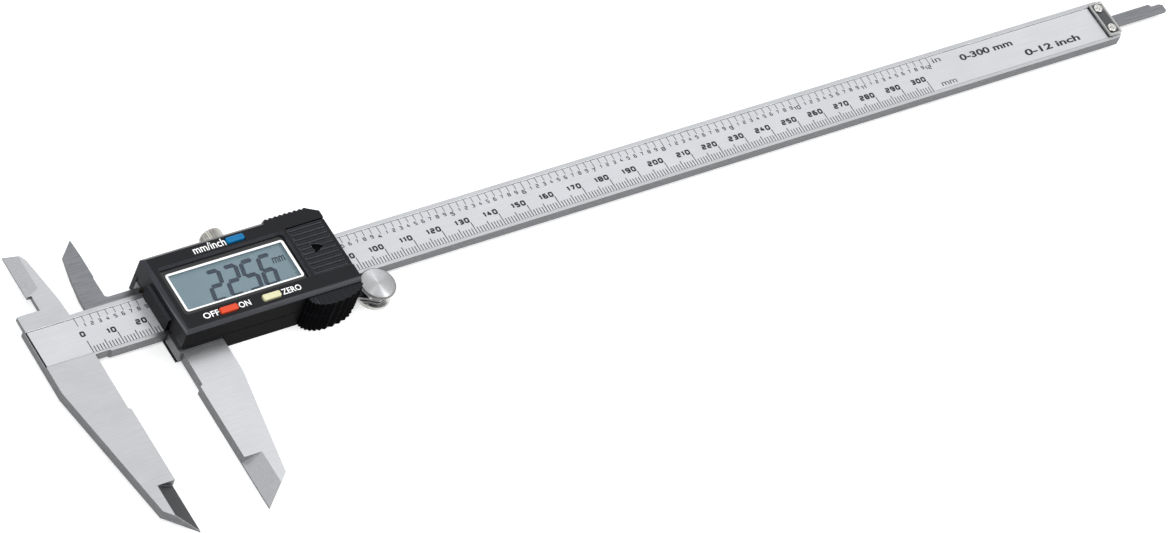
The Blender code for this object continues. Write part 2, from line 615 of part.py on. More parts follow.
def make_button(name, finish, parent):
    wide = BUTTON[0] / 2
    tall = BUTTON[1] / 2
    top = BODY_TOP + BUTTON_PROUD
    shape = loft([(rounded(-wide, wide, -tall, tall, 0.5), SEAT_Z - 0.9),
                  (rounded(-wide, wide, -tall, tall, 0.5), top - 0.2),
                  (rounded(-wide + 0.2, wide - 0.2, -tall + 0.2, tall - 0.2, 0.4), top)])
    made = piece(name, shape, finish, parent)
    weld(made, block(-wide - 0.6, wide + 0.6, -tall + 0.1, tall - 0.1, SEAT_Z - 1.0, SEAT_Z - GAP),
         pin(0, 0, DOME_TOP + 0.35 + BUTTON_TRAVEL, SEAT_Z - 0.5, 0.7, 12))


def make_battery(cell_finish, contact_finish, cover_finish, parent):
    z0 = 1.95
    z1 = SEAT_Z - GAP
    cell = [(CELL_RADIUS - 0.9, z0), (CELL_RADIUS - 0.9, z0 + 0.5), (CELL_RADIUS, z0 + 0.8),
            (CELL_RADIUS, z1 - 0.3), (CELL_RADIUS - 0.3, z1)]
    smooth(piece("battery_cell", turned(cell, ROUND, "Z", (CELL_X, CELL_Y, 0)), cell_finish, parent))
    side = CELL_X - CELL_RADIUS - GAP
    over = BOARD_Z[1] + GAP
    shape = block(CELL_X - 5, CELL_X + 4, CELL_Y - 1.5, CELL_Y + 1.5, over, z0 - GAP)
    piece("battery_contact_below", shape, contact_finish, parent)
    shape = block(side - 0.25, side, CELL_Y - 2, CELL_Y + 2, over, z1 - 1.5)
    piece("battery_contact_side", shape, contact_finish, parent)
    x0 = HATCH[0] + GAP
    x1 = BODY_X1
    y0 = HATCH[2] + GAP
    y1 = HATCH[3] - GAP
    face = BODY_TOP - 0.3
    hatch = piece("battery_cover", block(x0, x1, y0, y1, SEAT_Z, face), cover_finish, parent)
    for a, b in ((y0 - 0.7, y0 + 0.9), (y1 - 0.9, y1 + 0.7)):
        weld(hatch, block(x0 + 0.05, x1 - 0.05, a, b, 6.3, SEAT_Z - GAP))
    for a, b in ((y0 + 0.05, y0 + 0.85), (y1 - 0.85, y1 - 0.05)):
        weld(hatch, block(x0 + 0.1, x1 - 0.1, a, b, 6.4, face - 0.1))
    for k in range(RIBS):
        y = RIB_TOP - RIB_PITCH * k
        weld(hatch, block(RIB_X0, RIB_X1, y - 0.4, y + 0.4, SEAT_Z + 0.3, BODY_TOP))


# ------------------------------------------------------------------ assembly
def main():
    clear_scene()
    low_x = HEEL_X - 0.2
    high_x = READING + BEAM_END
    centre_x = (low_x + high_x) / 2
    centre_y = (INSIDE_TIP - JAW_LENGTH) / 2
    base = empty("caliper", None, (-centre_x, -centre_y, -BODY_BACK))
    slider = empty("slider", base, (READING, 0, 0))
    roller = empty("roller_axis", slider, (ROLLER_X, ROLLER_Y, 0))
    lock = empty("lock_axis", slider, (LOCK_X, 0, LOCK_Z))

    steel = material("brushed_stainless", (0.60, 0.61, 0.63), 0.32, 1.0)
    bright = material("bright_nickel", (0.72, 0.71, 0.68), 0.22, 1.0)
    plate = material("grey_plate", (0.33, 0.34, 0.35), 0.4, 1.0)
    spring = material("spring_steel", (0.45, 0.46, 0.47), 0.35, 1.0)
    brass = material("brass", (0.75, 0.58, 0.26), 0.3, 1.0)
    label = material("silver_label", (0.78, 0.79, 0.81), 0.35, 0.3)
    copper = material("circuit_strip", (0.55, 0.36, 0.14), 0.4, 0.2)
    black = material("black_abs", (0.03, 0.03, 0.033), 0.38)
    clear = material("clear_window", (0.9, 0.92, 0.93), 0.05, 0.0, 0.9)
    grey_glass = material("lcd_grey", (0.33, 0.41, 0.44), 0.2)
    pink = material("zebra_rubber", (0.6, 0.35, 0.35), 0.6)
    green = material("board_green", (0.02, 0.16, 0.07), 0.35)
    tin = material("tinned_contact", (0.7, 0.7, 0.68), 0.25, 1.0)

    make_beam(steel, base)
    make_scale(copper, label, plate, bright, base)
    smooth(make_slider_frame(steel, slider), 20)
    make_gib(brass, bright, slider)
    make_lock(brass, bright, lock)
    make_back(plate, steel, bright, slider)
    make_roller(spring, bright, bright, slider, roller)
    make_front_cover(black, slider)
    make_rear_shell(black, slider)
    make_display(clear, grey_glass, pink, green, tin, bright, slider)
    for name, (x, y, colour) in BUTTONS.items():
        place = empty(name + "_axis", slider, (x, y, 0))
        make_button(name, material(name + "_plastic", colour, 0.35), place)
    make_battery(tin, tin, black, slider)


main()
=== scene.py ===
"""The looks of a 300 mm digital caliper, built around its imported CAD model.

Shapes are drawn in millimetres from two zero points: the fixed jaw's measuring face for what
stays on the beam, and the moving jaw's measuring face for what rides on the slider. Z is 0 on
the front of the beam in both.
"""
import math

import bmesh
import bpy
from bpy.props import FloatProperty, FloatVectorProperty, IntProperty, PointerProperty, StringProperty
from mathutils import Matrix, Vector


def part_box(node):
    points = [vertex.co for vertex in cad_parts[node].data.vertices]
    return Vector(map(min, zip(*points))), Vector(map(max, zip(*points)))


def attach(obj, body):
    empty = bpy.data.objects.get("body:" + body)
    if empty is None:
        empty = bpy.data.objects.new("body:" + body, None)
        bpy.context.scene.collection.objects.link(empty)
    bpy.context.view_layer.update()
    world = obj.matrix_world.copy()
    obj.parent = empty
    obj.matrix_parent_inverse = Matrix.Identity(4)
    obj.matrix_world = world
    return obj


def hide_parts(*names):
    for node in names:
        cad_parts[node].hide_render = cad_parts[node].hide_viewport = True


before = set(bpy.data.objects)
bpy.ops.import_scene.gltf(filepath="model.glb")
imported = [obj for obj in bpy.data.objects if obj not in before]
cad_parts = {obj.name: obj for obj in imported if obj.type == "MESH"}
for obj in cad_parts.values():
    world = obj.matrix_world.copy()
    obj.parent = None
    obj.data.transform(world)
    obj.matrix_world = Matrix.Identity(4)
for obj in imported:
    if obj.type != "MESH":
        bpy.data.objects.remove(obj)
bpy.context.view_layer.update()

bl_info = {
    "name": "Digital caliper looks",
    "version": (1, 0, 0),
    "blender": (4, 5, 0),
    "location": "3D View > Sidebar > Caliper",
    "description": "Builds the visible pieces, the finishes and the stage of a digital caliper",
    "category": "Object",
}

MM = 0.001
INCH = 25.4

# ------------------------------------------------------------------ places, from the frame
BEAM_LOW, BEAM_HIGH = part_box("beam")
FRAME_LOW, FRAME_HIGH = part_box("slider_frame")
BEAM_ZERO = Vector((BEAM_LOW.x + 16.3 * MM, BEAM_LOW.y + 62.5 * MM, BEAM_HIGH.z))
SLIDER_ZERO = Vector((FRAME_LOW.x + 17.25 * MM, BEAM_ZERO.y, BEAM_ZERO.z))
SCALE_ZERO = BEAM_ZERO - Vector((0.85 * MM, 0, 0))
ROLLER_LOW, ROLLER_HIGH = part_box("thumb_roller")
ROLLER_CENTRE = (ROLLER_LOW + ROLLER_HIGH) / 2

# ------------------------------------------------------------------ places in millimetres
COVER_FACE = 8.7            # front of the housing
LABEL_BACK = -0.18          # the label lies in a groove of the beam
LABEL_FACE = -0.03
PRINT_SINK = 0.005          # how deep print starts below its surface, so that none floats
LCD_FACE = 6.25
PARTED = 14                 # degrees: steel faces that meet at more than this stay crisp
GRIP_PEAK = 48.0            # the swell under the thumb: its peak, reach to each side and height
GRIP_LEFT = 6.7
GRIP_RIGHT = 10.9
GRIP_WALL = -8.3
GRIP_SWELL = 3.7
GRIP_FLAT = 7.3             # its flat top
GRIP_TEETH = 13
CORNER = ((59.92, 16.83), (56.012, 19.666))    # a line just outside the housing's cut corner


def span(node, zero):
    """The lowest and highest corner of a CAD node in millimetres from a zero point."""
    low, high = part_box(node)
    return (low - zero) / MM, (high - zero) / MM


# ------------------------------------------------------------------ what a user may change
def length(name, description, millimetres):
    return FloatProperty(name=name, description=description, default=millimetres * MM, min=0.0,
                         unit="LENGTH", subtype="DISTANCE", precision=5)


def colour(name, description, red, green, blue):
    return FloatVectorProperty(name=name, description=description, default=(red, green, blue),
                               subtype="COLOR", size=3, min=0.0, max=1.0)


class CaliperSizes(bpy.types.PropertyGroup):
    """Sizes of the small details"""
    steel_edge: length("Steel edge", "Width of the broken edges on ground steel", 0.16)
    plastic_edge: length("Moulded edge", "Radius of the moulded edges on the housing", 0.22)
    plate_edge: length("Pressed edge", "Radius of the edges on pressed plates", 0.12)
    ink: length("Ink thickness", "How far the print stands on its surface", 0.012)
    tick: length("Millimetre line", "Width of a line on the millimetre scale", 0.27)
    inch_tick: length("Inch line", "Width of a line on the inch scale", 0.2)
    figure: length("Figure height", "Height of the centimetre figures", 1.9)
    figure_stroke: length("Figure stroke", "Stroke of the centimetre figures", 0.54)
    segment: length("Segment width", "Width of the bars of the display figures", 1.4)
    roller_teeth: IntProperty(name="Roller teeth", description="Knurl teeth round the roller",
                              default=84, min=12)
    knob_teeth: IntProperty(name="Knob teeth", description="Knurl teeth round the lock knob",
                            default=28, min=12)
    reading: StringProperty(name="Reading", description="What the display shows", default="22.56")


class CaliperColours(bpy.types.PropertyGroup):
    """Colours of the finishes"""
    steel: colour("Steel", "Ground faces of the steel", 0.55, 0.555, 0.567)
    # painted shade: the steel's side walls get a far darker colour than its ground faces
    steel_side: colour("Steel sides", "Milled side faces of the steel", 0.155, 0.16, 0.165)
    # painted light and painted shade: a lit copy and a shaded copy of the blade steel
    blade: colour("Blade", "Ground slopes that face the light", 0.60, 0.605, 0.62)
    blade_painted_shade_colour: colour("Dark blade", "Slopes that are turned from the light", 0.15, 0.153, 0.16)
    label: colour("Label", "Silver face of the scale label", 0.66, 0.665, 0.69)
    ink: colour("Ink", "Print on the scale label", 0.006, 0.006, 0.008)
    housing: colour("Housing", "Moulded front cover and rear shell", 0.013, 0.0134, 0.016)
    # painted shade: the glossy sides of the housing get a darker colour than its front
    housing_side: colour("Housing sides", "Glossy sides of the housing", 0.0035, 0.0035, 0.004)
    words: colour("Words", "White print on the housing", 0.95, 0.95, 0.95)
    glass: colour("Display", "Face of the liquid crystal display", 0.235, 0.335, 0.385)
    segment: colour("Segments", "Dark bars of the display figures", 0.04, 0.062, 0.095)
    key_blue: colour("Blue key", "Key beside mm/inch", 0.0, 0.185, 0.45)
    key_red: colour("Red key", "Key between OFF and ON", 0.88, 0.085, 0.03)
    key_cream: colour("Cream key", "Key beside ZERO", 0.88, 0.82, 0.50)


def size(name):
    """A size of the caliper in millimetres."""
    return getattr(bpy.context.scene.caliper_sizes, name) / MM


def tint(name):
    return tuple(getattr(bpy.context.scene.caliper_colours, name))


def shade(rgb, factor):
    return tuple(min(1.0, part * factor) for part in rgb)


# ------------------------------------------------------------------ shader nodes
class Value:
    """A number carried by a shader socket; arithmetic on it adds Math nodes."""

    def __init__(self, tree, socket):
        self.tree = tree
        self.socket = socket

    def math(self, operation, first, second):
        node = self.tree.nodes.new("ShaderNodeMath")
        node.operation = operation
        for socket, value in zip(node.inputs, (first, second)):
            plug(self.tree, socket, value)
        return Value(self.tree, node.outputs[0])

    def __add__(self, other):
        return self.math("ADD", self, other)

    def __radd__(self, other):
        return self.math("ADD", other, self)

    def __sub__(self, other):
        return self.math("SUBTRACT", self, other)

    def __rsub__(self, other):
        return self.math("SUBTRACT", other, self)

    def __mul__(self, other):
        return self.math("MULTIPLY", self, other)

    def __rmul__(self, other):
        return self.math("MULTIPLY", other, self)

    def __truediv__(self, other):
        return self.math("DIVIDE", self, other)

    def __rtruediv__(self, other):
        return self.math("DIVIDE", other, self)

    def above(self, edge, softness=0.1):
        """1 where the number is above an edge, 0 below it, with a soft step between."""
        return self.math("MAXIMUM", self.math("MINIMUM", (self - edge) / softness + 0.5, 1.0), 0.0)


def plug(tree, socket, value):
    """Link a Value to a socket, or set the socket to a plain number or colour."""
    if isinstance(value, Value):
        tree.links.new(value.socket, socket)
    elif isinstance(value, (tuple, list)) and socket.type == "RGBA" and len(value) == 3:
        socket.default_value = (*value, 1.0)
    else:
        socket.default_value = value


class Nodes:
    """A node tree, with one way to add any node to it."""

    def __init__(self, tree):
        self.tree = tree

    def add(self, kind, settings=None, sockets=None, output=0):
        node = self.tree.nodes.new("ShaderNode" + kind)
        for name, value in (settings or {}).items():
            setattr(node, name, value)
        for name, value in (sockets or {}).items():
            plug(self.tree, node.inputs[name], value)
        return Value(self.tree, node.outputs[output])


class Finish(Nodes):
    """A material around one Principled shader."""

    def __init__(self, name, rgb, roughness, metallic=0.0, **constants):
        self.material = bpy.data.materials.new(name)
        self.material.use_nodes = True
        super().__init__(self.material.node_tree)
        self.shader = self.tree.nodes["Principled BSDF"]
        self.feed(Base_Color=rgb, Roughness=roughness, Metallic=metallic, **constants)

    def feed(self, **sockets):
        for name, value in sockets.items():
            plug(self.tree, self.shader.inputs[name.replace("_", " ")], value)
        return self

    def place(self, scale=(1, 1, 1)):
        """Where a point lies on the piece, in millimetres, divided by a size along each axis."""
        where = self.add("TexCoord", output=3)
        return self.add("Mapping", None, {"Vector": where, "Scale": [1 / (MM * part) for part in scale]})

    def noise(self, grain, detail=2.0):
        """Cloudy variation round 0.5; grain is its size in millimetres, one number or (x, y, z)."""
        scale = grain if isinstance(grain, tuple) else (grain, grain, grain)
        return self.add("TexNoise", None, {"Vector": self.place(scale), "Scale": 1.0, "Detail": detail})

    def blend(self, share, one, two):
        return self.add("Mix", {"data_type": "RGBA"}, {0: share, 6: one, 7: two}, 2)

    def bump(self, height, distance):
        """Raise the surface by height times distance, in millimetres."""
        return self.feed(Normal=self.add("Bump", None, {"Height": height, "Distance": distance * MM}))


# ------------------------------------------------------------------ finishes
def brushed(name, rgb, roughness, grain=(8.0, 0.24, 0.24), depth=0.003, contrast=0.13):
    """Ground metal: long hairlines, a few deeper ones, and faint cloudy handling marks."""
    finish = Finish(name, rgb, roughness, 1.0)
    lines = finish.noise(grain, 3.0)
    fine = finish.noise(tuple(part * 0.45 for part in grain), 2.0)
    marks = finish.noise(11.0, 3.0)
    tone = lines * 0.55 + fine * 0.45
    share = (tone - 0.5) * 2.2 + 0.5
    low = shade(rgb, 1 - contrast)
    high = shade(rgb, 1 + contrast)
    ground = finish.blend(share.above(0.5, 1.0), low, high)
    smear = (marks - 0.5) * 0.5
    finish.feed(Base_Color=finish.blend(marks.above(0.62, 0.3) * 0.25, ground, shade(rgb, 0.86)))
    finish.feed(Roughness=roughness + (tone - 0.5) * 0.3 + smear * 0.16)
    finish.bump(tone, depth)
    return finish.material


def milled(name, rgb, roughness=0.42, grain=(2.5, 2.5, 0.25)):
    """Milled side faces: darker, as painted shade, with fine cutter lines and small bright nicks."""
    finish = Finish(name, rgb, roughness, 1.0)
    lines = finish.noise(grain, 2.0)
    clouds = finish.noise(4.0, 3.0)
    nicks = finish.noise(0.7, 1.0).above(0.70, 0.05)
    tone = (lines - 0.5) * 1.4 + (clouds - 0.5) * 0.8 + 0.5
    cut = finish.blend(tone.above(0.5, 1.0), shade(rgb, 0.72), shade(rgb, 1.3))
    finish.feed(Base_Color=finish.blend(nicks * 0.5, cut, shade(rgb, 1.9)))
    finish.feed(Roughness=roughness + (clouds - 0.5) * 0.3)
    finish.bump(lines, 0.01)
    return finish.material


def turned_face(name, rgb, roughness, centre, anisotropic):
    """Lathe-turned metal: fine rings round an upright axis through the centre, in metres."""
    finish = Finish(name, rgb, roughness, 1.0, Anisotropic=anisotropic, Anisotropic_Rotation=0.25)
    place = finish.add("TexCoord", output=3)
    arm = finish.add("VectorMath", {"operation": "SUBTRACT"}, {0: place, 1: centre})
    flat = finish.add("VectorMath", {"operation": "MULTIPLY"}, {0: arm, 1: (1 / MM, 1 / MM, 0)})
    radius = finish.add("VectorMath", {"operation": "LENGTH"}, {0: flat}, 1)
    rings = finish.add("TexNoise", {"noise_dimensions": "1D"},
                       {"W": radius * 7.0, "Scale": 1.0, "Detail": 3.0})
    clouds = finish.noise(3.0, 2.0)
    share = ((rings - 0.5) * 2.4 + 0.5).above(0.5, 1.0)
    ring_tone = finish.blend(share, shade(rgb, 0.82), shade(rgb, 1.14))
    finish.feed(Base_Color=finish.blend(clouds.above(0.6, 0.3) * 0.2, ring_tone, shade(rgb, 0.8)))
    finish.feed(Roughness=roughness + (rings - 0.5) * 0.12)
    finish.bump(rings, 0.006)
    return finish.material


def plated(name, rgb, roughness, grain=0.5, metallic=1.0, depth=0.006):
    """Plated or pressed metal: faintly pebbled, with dull patches and small scuffs."""
    finish = Finish(name, rgb, roughness, metallic)
    pebbles = finish.noise(grain, 3.0)
    patches = finish.noise(5.0, 3.0)
    scuffs = finish.noise((0.25, 3.0, 0.8), 1.0).above(0.68, 0.06)
    base = finish.blend(patches.above(0.5, 0.5), shade(rgb, 0.85), shade(rgb, 1.1))
    finish.feed(Base_Color=finish.blend(scuffs * 0.35, base, shade(rgb, 1.5)))
    finish.feed(Roughness=roughness + (patches - 0.5) * 0.3 + scuffs * 0.1)
    finish.bump(pebbles, depth)
    return finish.material


def moulded(name, rgb, roughness, grain=0.22, depth=0.02, specular=0.5, worn=1.9, ior=1.5):
    """Moulded plastic: spark-eroded grain, a few shiny rubbed patches and light specks."""
    finish = Finish(name, rgb, roughness, 0.0, Specular_IOR_Level=specular, IOR=ior)
    pits = finish.noise(grain, 2.0)
    rubbed = finish.noise(7.0, 3.0)
    specks = finish.noise(0.35, 1.0).above(0.74, 0.05)
    skin = finish.blend((pits * 0.6 + rubbed * 0.4).above(0.5, 0.4), shade(rgb, 0.78), shade(rgb, 1.25))
    finish.feed(Base_Color=finish.blend(specks * 0.35, skin, shade(rgb, worn)))
    finish.feed(Roughness=roughness + (rubbed - 0.5) * 0.25 + (pits - 0.5) * 0.12)
    finish.bump(pits, depth)
    return finish.material


def printed(name, rgb, roughness=0.5, glow=0.0):
    """Screen-printed ink: an almost even colour with a dry, slightly uneven film; a glow above 0 adds
    painted glow, light the ink gives off itself.
    """
    finish = Finish(name, rgb, roughness, Emission_Color=rgb, Emission_Strength=glow)
    film = finish.noise(0.18, 2.0)
    wash = finish.noise(2.2, 2.0)
    tone = film * 0.5 + wash * 0.5
    finish.feed(Base_Color=finish.blend(tone.above(0.5, 0.5), shade(rgb, 0.88), shade(rgb, 1.1)))
    finish.feed(Roughness=roughness + (film - 0.5) * 0.3)
    finish.bump(film, 0.003)
    return finish.material


def silver_film(name, rgb):
    """The label: satin silver film with a pearly grain under a thin lacquer."""
    finish = Finish(name, rgb, 0.42, 0.35, Coat_Roughness=0.18)
    grain = finish.noise(0.16, 2.0)
    drawn = finish.noise((12.0, 0.5, 0.5), 2.0)
    clouds = finish.noise(16.0, 2.0)
    tone = (grain - 0.5) * 0.7 + (drawn - 0.5) * 0.5 + (clouds - 0.5) * 0.5 + 0.5
    finish.feed(Base_Color=finish.blend(tone.above(0.5, 1.0), shade(rgb, 0.86), shade(rgb, 1.12)))
    finish.feed(Roughness=0.42 + (grain - 0.5) * 0.2, Coat_Weight=0.25 + (clouds - 0.5) * 0.2)
    finish.bump(grain, 0.003)
    return finish.material


def clear_sheet(name):
    """Clear acrylic: almost invisible, with a faint film of dust and hairline scratches."""
    finish = Finish(name, (0.02, 0.024, 0.026), 0.05, 0.0, Specular_IOR_Level=0.6)
    dust = finish.noise(0.5, 2.0).above(0.66, 0.1)
    scratches = finish.noise((6.0, 0.12, 0.5), 1.0).above(0.70, 0.04)
    finish.feed(Alpha=0.05 + dust * 0.03 + scratches * 0.05, Roughness=0.05 + dust * 0.2)
    return finish.material


def crystal_face(name, rgb):
    """The display's face: blue-grey polariser with a soft cloudy tone and a fine weave."""
    finish = Finish(name, rgb, 0.32)
    weave = finish.noise(0.12, 1.0)
    clouds = finish.noise(9.0, 2.0)
    tone = (clouds - 0.5) * 1.2 + (weave - 0.5) * 0.4 + 0.5
    finish.feed(Base_Color=finish.blend(tone.above(0.5, 1.0), shade(rgb, 0.9), shade(rgb, 1.1)))
    finish.feed(Roughness=0.32 + (weave - 0.5) * 0.2)
    finish.bump(weave, 0.002)
    return finish.material


def board_mask(name, rgb):
    """Circuit board lacquer over copper traces that show as lighter, raised lines."""
    finish = Finish(name, rgb, 0.3)
    bricks = finish.add("TexBrick", {"offset": 0.37}, {
        "Vector": finish.place((1, 1, 1)), "Scale": 0.42, "Mortar Size": 0.035, "Mortar Smooth": 0.2,
        "Brick Width": 1.3, "Row Height": 0.42}, 1)
    pads = finish.add("TexVoronoi", {"feature": "F1"},
                      {"Vector": finish.place((3.1, 3.1, 3.1)), "Scale": 1.0})
    dots = 1 - pads.above(0.16, 0.03)
    lacquer = finish.blend(bricks, shade(rgb, 0.9), shade(rgb, 2.3))
    finish.feed(Base_Color=finish.blend(dots, lacquer, (0.72, 0.62, 0.38)), Metallic=dots * 0.9)
    finish.feed(Roughness=0.3 + finish.noise(1.2) * 0.15)
    finish.bump(bricks + dots, 0.03)
    return finish.material


def etched_strip(name, rgb):
    """The measuring strip under the label: green lacquer with rows of narrow copper bars."""
    finish = Finish(name, rgb, 0.4)
    wave = finish.add("TexWave", {"wave_type": "BANDS", "bands_direction": "X"},
                      {"Vector": finish.place((1.25, 1.25, 1.25)), "Scale": 0.3183, "Distortion": 0.0})
    facing = finish.add("NewGeometry", output=1)
    upward = finish.add("SeparateXYZ", None, {0: facing}, 2)
    bars = wave.above(0.5, 0.1) * upward.above(0.5, 0.1)
    finish.feed(Base_Color=finish.blend(bars, (0.008, 0.02, 0.012), rgb), Metallic=bars * 0.8)
    finish.feed(Roughness=0.3 + finish.noise(0.8) * 0.25)
    finish.bump(bars, 0.02)
    return finish.material


def striped_rubber(name, rgb):
    """The connector between display and board: thin dark and pale silicone layers."""
    finish = Finish(name, rgb, 0.6)
    wave = finish.add("TexWave", {"wave_type": "BANDS", "bands_direction": "X"},
                      {"Vector": finish.place((0.5, 0.5, 0.5)), "Scale": 0.3183, "Distortion": 0.4})
    finish.feed(Base_Color=finish.blend(wave.above(0.5, 0.2), rgb, (0.03, 0.03, 0.03)))
    finish.feed(Roughness=0.55 + finish.noise(0.4) * 0.2)
    finish.bump(wave, 0.02)
    return finish.material


# each maker is handed the name of its finish
MAKERS = {
    "ground_steel": lambda name: brushed(name, tint("steel"), 0.36),
    # painted light: a brighter copy of the ground steel for the moving jaws
    "ground_pale": lambda name: brushed(name, shade(tint("steel"), 1.15), 0.36),
    # painted shade: a dark copy of the steel for its side walls
    "steel_side": lambda name: milled(name, tint("steel_side")),
    # painted light: a brighter copy of the steel for slopes that face the light
    "blade_steel": lambda name: brushed(name, tint("blade"), 0.34, (7.0, 0.35, 0.35), 0.003, 0.12),
    # painted shade: a dark copy of the steel for slopes turned from the light
    "blade_shade": lambda name: brushed(name, tint("blade_painted_shade_colour"), 0.42, (7.0, 0.35, 0.35), 0.003, 0.1),
    # the depth rod's own steel, also used as painted shade on the moving inside jaw's front
    "rod_steel": lambda name: brushed(name, (0.25, 0.255, 0.27), 0.4, (9.0, 0.3, 0.3), 0.004, 0.34),
    "nickel_plating": lambda name: plated(name, (0.70, 0.69, 0.665), 0.24, 0.4),
    "knob_nickel": lambda name: plated(name, (0.66, 0.64, 0.60), 0.3, 0.5),
    "roller_turned": lambda name: turned_face(name, (0.53, 0.53, 0.54), 0.28, ROLLER_CENTRE, 0.96),
    # painted shade: a darker copy of the roller's metal for its knurl band, neck and underside
    "roller_knurl": lambda name: milled(name, (0.26, 0.26, 0.26), 0.34, (0.6, 0.6, 0.6)),
    "rim_nickel": lambda name: plated(name, (0.50, 0.50, 0.49), 0.3, 0.4),
    "grey_plating": lambda name: plated(name, (0.30, 0.31, 0.32), 0.42, 0.6),
    "recess_plate": lambda name: plated(name, (0.13, 0.13, 0.135), 0.5, 0.3),
    "spring_plating": lambda name: plated(name, (0.40, 0.41, 0.42), 0.36, 0.5),
    "worn_brass": lambda name: plated(name, (0.72, 0.54, 0.24), 0.34, 0.4),
    "tin_plating": lambda name: plated(name, (0.68, 0.68, 0.66), 0.3, 0.5),
    "label_film": lambda name: silver_film(name, tint("label")),
    "scale_ink": lambda name: printed(name, tint("ink"), 0.4),
    # painted glow: the white print gives off light of its own
    "white_ink": lambda name: printed(name, tint("words"), 0.5, 0.3),
    "mask_ink": lambda name: printed(name, (0.008, 0.008, 0.009), 0.25),
    "housing_face": lambda name: moulded(name, tint("housing"), 0.45, 0.22, 0.02, 0.16),
    # painted shade: a darker, less reflective copy of the housing for its sides
    "housing_side": lambda name: moulded(name, tint("housing_side"), 0.3, 0.5, 0.008, 0.5, 2.5, 1.07),
    # painted shade: a darker, less reflective copy of the housing for the grip's walls
    "grip_side": lambda name: moulded(name, tint("housing_side"), 0.35, 0.5, 0.008, 0.5, 2.5, 1.03),
    # painted highlight: a lighter copy of the housing for its broken edges
    "housing_edge": lambda name: moulded(name, shade(tint("housing"), 3.4), 0.35, 0.3, 0.006, 0.3),
    # painted highlight: a much lighter copy of the housing for the crests of the battery cover's ribs
    "rib_edge": lambda name: moulded(name, shade(tint("housing"), 9.0), 0.4, 0.3, 0.004, 0.3, 1.2),
    "clear_acrylic": lambda name: clear_sheet(name),
    "lcd_face": lambda name: crystal_face(name, tint("glass")),
    "lcd_segment": lambda name: printed(name, tint("segment"), 0.35),
    "striped_rubber": lambda name: striped_rubber(name, (0.62, 0.40, 0.40)),
    "board_lacquer": lambda name: board_mask(name, (0.015, 0.12, 0.05)),
    "etched_strip": lambda name: etched_strip(name, (0.62, 0.38, 0.18)),
    "blue_plastic": lambda name: moulded(name, tint("key_blue"), 0.34, 0.3, 0.008, 0.25, 1.3),
    "red_plastic": lambda name: moulded(name, tint("key_red"), 0.34, 0.3, 0.008, 0.25, 1.2),
    "cream_plastic": lambda name: moulded(name, tint("key_cream"), 0.38, 0.3, 0.008, 0.5, 1.1),
}
FINISHES = {}


def finish(name):
    """The finish of that name, made the first time it is asked for."""
    if name not in FINISHES:
        FINISHES[name] = MAKERS[name](name)
    return FINISHES[name]


# ------------------------------------------------------------------ shapes, in millimetres
def walls(shape, low, high, closed=True):
    count = len(low)
    for k in range(count if closed else count - 1):
        n = (k + 1) % count
        shape.faces.new((low[k], low[n], high[n], high[k]))


def loft(rings, shape=None):
    """A closed solid through outlines (x, y) given at rising heights."""
    shape = shape or bmesh.new()
    loops = [[shape.verts.new((x, y, z)) for x, y in outline] for outline, z in rings]
    shape.faces.new(list(reversed(loops[0])))
    shape.faces.new(loops[-1])
    for one, two in zip(loops, loops[1:]):
        walls(shape, one, two)
    return shape


def prism(outline, z0, z1, shape=None):
    return loft([(outline, z0), (outline, z1)], shape)


def block(x0, x1, y0, y1, z0, z1, shape=None):
    return prism([(x0, y0), (x1, y0), (x1, y1), (x0, y1)], z0, z1, shape)


def wedge(x, half, y0, y1, top, depth):
    """A V-shaped cutter that runs along Y, sunk into a flat top."""
    shape = prism([(x - half, top + 0.05), (x, top - depth), (x + half, top + 0.05)], -y1, -y0)
    shape.transform(Matrix.Rotation(math.pi / 2, 4, "X"))
    return shape


def rounded(x0, x1, y0, y1, radius, steps=4):
    """Outline of a rectangle with round corners."""
    points = []
    for x, y, start in ((x1, y0, -90), (x1, y1, 0), (x0, y1, 90), (x0, y0, 180)):
        cx = x - radius if x == x1 else x + radius
        cy = y - radius if y == y1 else y + radius
        for k in range(steps + 1):
            a = math.radians(start + 90 * k / steps)
            points.append((cx + radius * math.cos(a), cy + radius * math.sin(a)))
    return points


def ring(outer, inner, z0, z1):
    """A flat frame between two outlines with the same number of points."""
    shape = bmesh.new()
    loops = [[shape.verts.new((x, y, z)) for x, y in outline]
             for outline, z in ((outer, z0), (outer, z1), (inner, z1), (inner, z0))]
    for k, one in enumerate(loops):
        walls(shape, one, loops[(k + 1) % 4])
    return shape


def turned(profile, sides, axis="Z", place=(0, 0, 0), teeth_depth=0.0):
    """A solid of revolution from (radius, height, knurled) points; every other side of a
    knurled ring is pressed in by teeth_depth."""
    shape = bmesh.new()
    rings = []
    for radius, height, knurled in profile:
        if radius == 0:
            rings.append([shape.verts.new((0, 0, height))])
            continue
        loop = []
        for k in range(sides):
            a = 2 * math.pi * k / sides
            r = radius - (teeth_depth if knurled and k % 2 else 0.0)
            loop.append(shape.verts.new((r * math.cos(a), r * math.sin(a), height)))
        rings.append(loop)
    for one, two in zip(rings, rings[1:]):
        for k in range(sides):
            n = (k + 1) % sides
            if len(one) == 1:
                shape.faces.new((one[0], two[n], two[k]))
            elif len(two) == 1:
                shape.faces.new((one[k], one[n], two[0]))
            else:
                shape.faces.new((one[k], one[n], two[n], two[k]))
    for end in (rings[0], rings[-1]):
        if len(end) > 1:
            shape.faces.new(end)
    if axis == "Y":
        shape.transform(Matrix.Rotation(-math.pi / 2, 4, "X"))
    shape.transform(Matrix.Translation(place))
    return shape


